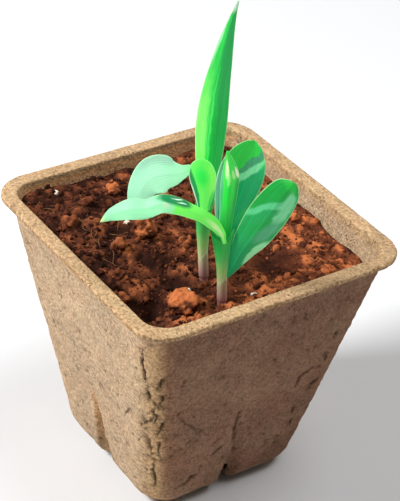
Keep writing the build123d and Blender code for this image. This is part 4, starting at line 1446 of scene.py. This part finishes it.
def tube_rows(stem, low_share, high_share, rows, extra, ribs):
    """Rings round a stem, with a lapped edge and fine ribs. What is added to the radius thins upwards."""
    rings, across, along = [], [], []
    for share in np.linspace(low_share, high_share, rows):
        centre, radius = stem_station(stem, share)
        part = (share - low_share) / (high_share - low_share)
        ring = []
        for side, turn in enumerate(TUBE_TURNS):
            lap = TUBE_LAP * (turn / (2 * math.pi) - 0.5) * min(1, max(0, 3 * share))
            own = (radius + extra * (1 - 0.95 * part)) * (1 + lap) * (1 + ribs * math.cos(TUBE_RIBS * turn))
            away = turn + TUBE_TURN
            ring.append(centre + fan_vector(math.cos(away) * own, math.sin(away) * own, 0))
            across.append(side / TUBE_SIDES)
            along.append(part)
        rings.append(ring)
    return rings, across, along


def stem_mesh(stem):
    """A stem from its crown to where the leaves part. Its mouth opens into the lobes of the leaf sheaths."""
    crown = -CROWN_DEPTH / STEMS[stem][1]
    rings, across, along = tube_rows(stem, crown, 1.0, STEM_ROWS, 0.0, STEM_RIB)
    for index, ring in enumerate(rings):
        open_share = max(0.0, (index / (len(rings) - 1) - 0.55) / 0.45) ** 2
        for side, turn in enumerate(TUBE_TURNS):
            away = turn + TUBE_TURN
            out = fan_vector(math.cos(away), math.sin(away), 0)
            for heading, rise, flare in STEM_LOBES[stem]:
                lobe = max(0.0, math.cos(away - math.radians(heading))) ** 3 * open_share
                ring[side] = ring[side] + UP * rise * lobe + out * flare * lobe
    rows = [[stem_station(stem, crown)[0]], *rings, [stem_station(stem, 0.93)[0]]]
    mesh = grid_mesh(stem + "_stem_skin", rows)
    keep_spread(mesh, [0.5, *across, 0.5], [0.0, *along, 1.0])
    return mesh


def sheath_mesh(stem):
    """The thin sheath round a stem's foot: up its outside, over its slanting mouth and down its inside."""
    outer, across, along = tube_rows(stem, *SHEATH_SHARES, SHEATH_ROWS, SHEATH_THICKNESS, SHEATH_RIB)
    inner, _, _ = tube_rows(stem, *SHEATH_SHARES, SHEATH_ROWS, 0.0, 0.0)
    for rings in (outer, inner):
        for index, ring in enumerate(rings):
            rise = (index / (len(rings) - 1)) ** 3
            for side, turn in enumerate(TUBE_TURNS):
                slant = math.cos(turn) + 0.15 * math.cos(5 * turn)
                ring[side] = ring[side] + UP * SHEATH_SLANT * rise * slant
    mesh = grid_mesh(stem + "_sheath", [*outer, *reversed(inner)], ring=True)
    keep_spread(mesh, across + across[::-1], along + along[::-1])
    return mesh


class FIBREPOT_OT_stems(bpy.types.Operator):
    """Makes the stems and their first sheaths"""

    bl_idname = "fibrepot.stems"
    bl_label = "Stems"

    def execute(self, context):
        stem_colour = stem_finish()
        sheath_colour = sheath_finish()
        for stem in STEMS:
            body = stem + "_seedling"
            add_piece(stem + "_stem_skin", stem_mesh(stem), body, stem_colour, [stem + "_stem"])
            sheath = sheath_mesh(stem)
            add_piece(stem + "_sheath", sheath, body, sheath_colour, [stem + "_coleoptile"])
        return {"FINISHED"}


def leaf_mesh(name, leaf, sizes):
    """A thin closed blade along a leaf's midrib, folded, cupped and waved at its edges."""
    stations = smooth_rows(leaf["stations"], sizes.rows)
    seat, _ = stem_station(name.split("_")[0], leaf["seat"])
    tilt = math.radians(leaf["tilt"])
    faces_to = fan_vector(0, math.cos(tilt), math.sin(tilt))
    midrib = [
        seat + fan_vector(leaf["reach"] * reach, leaf["depth"] * depth, leaf["rise"] * rise)
        for reach, depth, rise, _ in stations
    ]
    run = np.cumsum([0] + [(b - a).length for a, b in zip(midrib, midrib[1:])])
    shares = np.linspace(-1, 1, sizes.columns)
    round_shares = [*shares, *shares[::-1]]
    rib_height = sizes.rib * leaf["veins"]
    rows, across, along, under = [], [], [], []
    for index, point in enumerate(midrib):
        ahead = (midrib[min(index + 1, len(midrib) - 1)] - midrib[max(index - 1, 0)]).normalized()
        side = faces_to.cross(ahead).normalized()
        out = ahead.cross(side).normalized()
        breadth = max(stations[index][3], 0.0)
        part = run[index] / run[-1]
        curl = max(0.0, 1 - part / LEAF_CURL_SHARE) ** 2
        upper, lower = [], []
        for share in shares:
            sink = leaf["cup"] * breadth * abs(share) ** LEAF_CUP_POWER
            sink += math.copysign(LEAF_CURL, leaf["cup"]) * curl * leaf["width"] * breadth * share * share
            wave = sizes.wave * breadth * abs(share) ** 3 * math.sin(run[index] * LEAF_WAVES + 2.2 * share)
            rib = rib_height * math.cos(share * LEAF_RIBS * math.pi) * breadth
            keel = rib_height * LEAF_KEEL * breadth * bell((share - leaf["fold"]) / LEAF_KEEL_WIDTH)
            thick = sizes.edge + (sizes.thickness - sizes.edge) * (1 - share * share) * min(1.0, 2 * breadth)
            spot = point + side * (share * leaf["width"] * breadth / 2) + out * (wave + rib + keel - sink)
            upper.append(spot)
            lower.append(spot - out * (thick + rib + keel))
        rows.append(upper + lower[::-1])
        across += [(share + 1) / 2 for share in round_shares]
        along += [part] * len(round_shares)
        under += [0.0] * len(shares) + [1.0] * len(shares)
    first, last = (sum(row, Vector()) / len(row) for row in (rows[0], rows[-1]))
    mesh = grid_mesh(name + "_blade", [[first], *rows, [last]])
    keep_spread(mesh, [0.5, *across, 0.5], [0.0, *along, 1.0])
    keep_values(mesh, under=[0.0, *under, 0.0])
    with edited(mesh) as form:
        bmesh.ops.recalc_face_normals(form, faces=form.faces)
    return mesh


class FIBREPOT_OT_leaves(bpy.types.Operator):
    """Makes the leaves of both seedlings"""

    bl_idname = "fibrepot.leaves"
    bl_label = "Leaves"

    def execute(self, context):
        for name, leaf in LEAVES.items():
            body = name.split("_")[0] + "_seedling"
            mesh = leaf_mesh(name, leaf, context.scene.fibre_pot_leaves)
            add_piece(name + "_blade", mesh, body, leaf_finish(name, leaf), [name])
        return {"FINISHED"}


class FIBREPOT_OT_buried(bpy.types.Operator):
    """Finishes the roots and seeds in the soil"""

    bl_idname = "fibrepot.buried"
    bl_label = "Roots and seeds"

    def execute(self, context):
        for finish, (low, high, names) in BURIED_FINISHES.items():
            material = mottled_finish(finish, low, high, 0.0012, 0.6, 0.3, band=(0.3, 0.7), relief=0.0001)
            for node in (f"{stem}_{name}" for stem in STEMS for name in names):
                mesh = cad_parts[node].data
                mesh.materials.clear()
                mesh.materials.append(material)
        return {"FINISHED"}


# The stage


def add_light(name, spot, size, power):
    """A soft square light that points at the pot."""
    lamp = bpy.data.lights.new(name, "AREA")
    lamp.energy = power
    lamp.size = size
    turn = (LIT_PLACE - spot).to_track_quat("-Z", "Y").to_matrix().to_4x4()
    link_object(name, lamp).matrix_world = Matrix.Translation(spot) @ turn


class FIBREPOT_OT_stage(bpy.types.Operator):
    """Sets up the floor, the light and the camera"""

    bl_idname = "fibrepot.stage"
    bl_label = "Stage"

    def execute(self, context):
        stage = context.scene.fibre_pot_stage
        corners = [(x * FLOOR_HALF, y * FLOOR_HALF, 0) for x, y in ((-1, -1), (1, -1), (1, 1), (-1, 1))]
        mesh = plain_mesh("floor", corners, faces=[(0, 1, 2, 3)])
        mesh.materials.append(floor_finish(stage))
        floor = link_object("floor", mesh)
        world = bpy.data.worlds.new("studio")
        world.use_nodes = True
        sky = world.node_tree.nodes["Background"]
        sky.inputs["Color"].default_value = solid(SKY_COLOUR)
        sky.inputs["Strength"].default_value = stage.sky
        context.scene.world = world
        add_light("key", *KEY_LIGHT, stage.key)
        add_light("fill", *FILL_LIGHT, stage.fill)
        lens = bpy.data.cameras.new("camera")
        lens.sensor_fit = "VERTICAL"
        lens.sensor_height = CAMERA_SENSOR
        lens.lens = CAMERA_LENS
        lens.clip_start = 0.01
        camera = link_object("camera", lens)
        turn = Matrix(camera_axes()).transposed().to_4x4()
        camera.matrix_world = Matrix.Translation(CAMERA_EYE) @ turn
        context.scene.camera = camera
        context.scene.view_settings.view_transform = "Standard"
        return {"FINISHED"}


STEPS = (
    FIBREPOT_OT_pot,
    FIBREPOT_OT_soil,
    FIBREPOT_OT_crumbs,
    FIBREPOT_OT_clods,
    FIBREPOT_OT_strands,
    FIBREPOT_OT_stems,
    FIBREPOT_OT_leaves,
    FIBREPOT_OT_buried,
    FIBREPOT_OT_stage,
)


class FIBREPOT_PT_panel(bpy.types.Panel):
    """Lists the pieces of the planted pot"""

    bl_idname = "FIBREPOT_PT_panel"
    bl_label = "Planted fibre pot"
    bl_space_type = "VIEW_3D"
    bl_region_type = "UI"
    bl_category = "Fibre Pot"

    def draw(self, context):
        for step in STEPS:
            self.layout.operator(step.bl_idname)


SETTINGS = {
    "fibre_pot": PotSettings,
    "fibre_pot_soil": SoilSettings,
    "fibre_pot_leaves": LeafSettings,
    "fibre_pot_stage": StageSettings,
}


def register():
    """Registers the settings, the operators and the panel."""
    for name, group in SETTINGS.items():
        bpy.utils.register_class(group)
        setattr(bpy.types.Scene, name, PointerProperty(type=group))
    for step in (*STEPS, FIBREPOT_PT_panel):
        bpy.utils.register_class(step)


def unregister():
    """Takes them away again."""
    for step in reversed((*STEPS, FIBREPOT_PT_panel)):
        bpy.utils.unregister_class(step)
    for name, group in SETTINGS.items():
        delattr(bpy.types.Scene, name)
        bpy.utils.unregister_class(group)


def main():
    """Makes every piece in order and keeps the sizes before and after."""
    register()
    for step in STEPS:
        group, name = step.bl_idname.split(".")
        getattr(getattr(bpy.ops, group), name)()


if __name__ == "__main__":
    main()
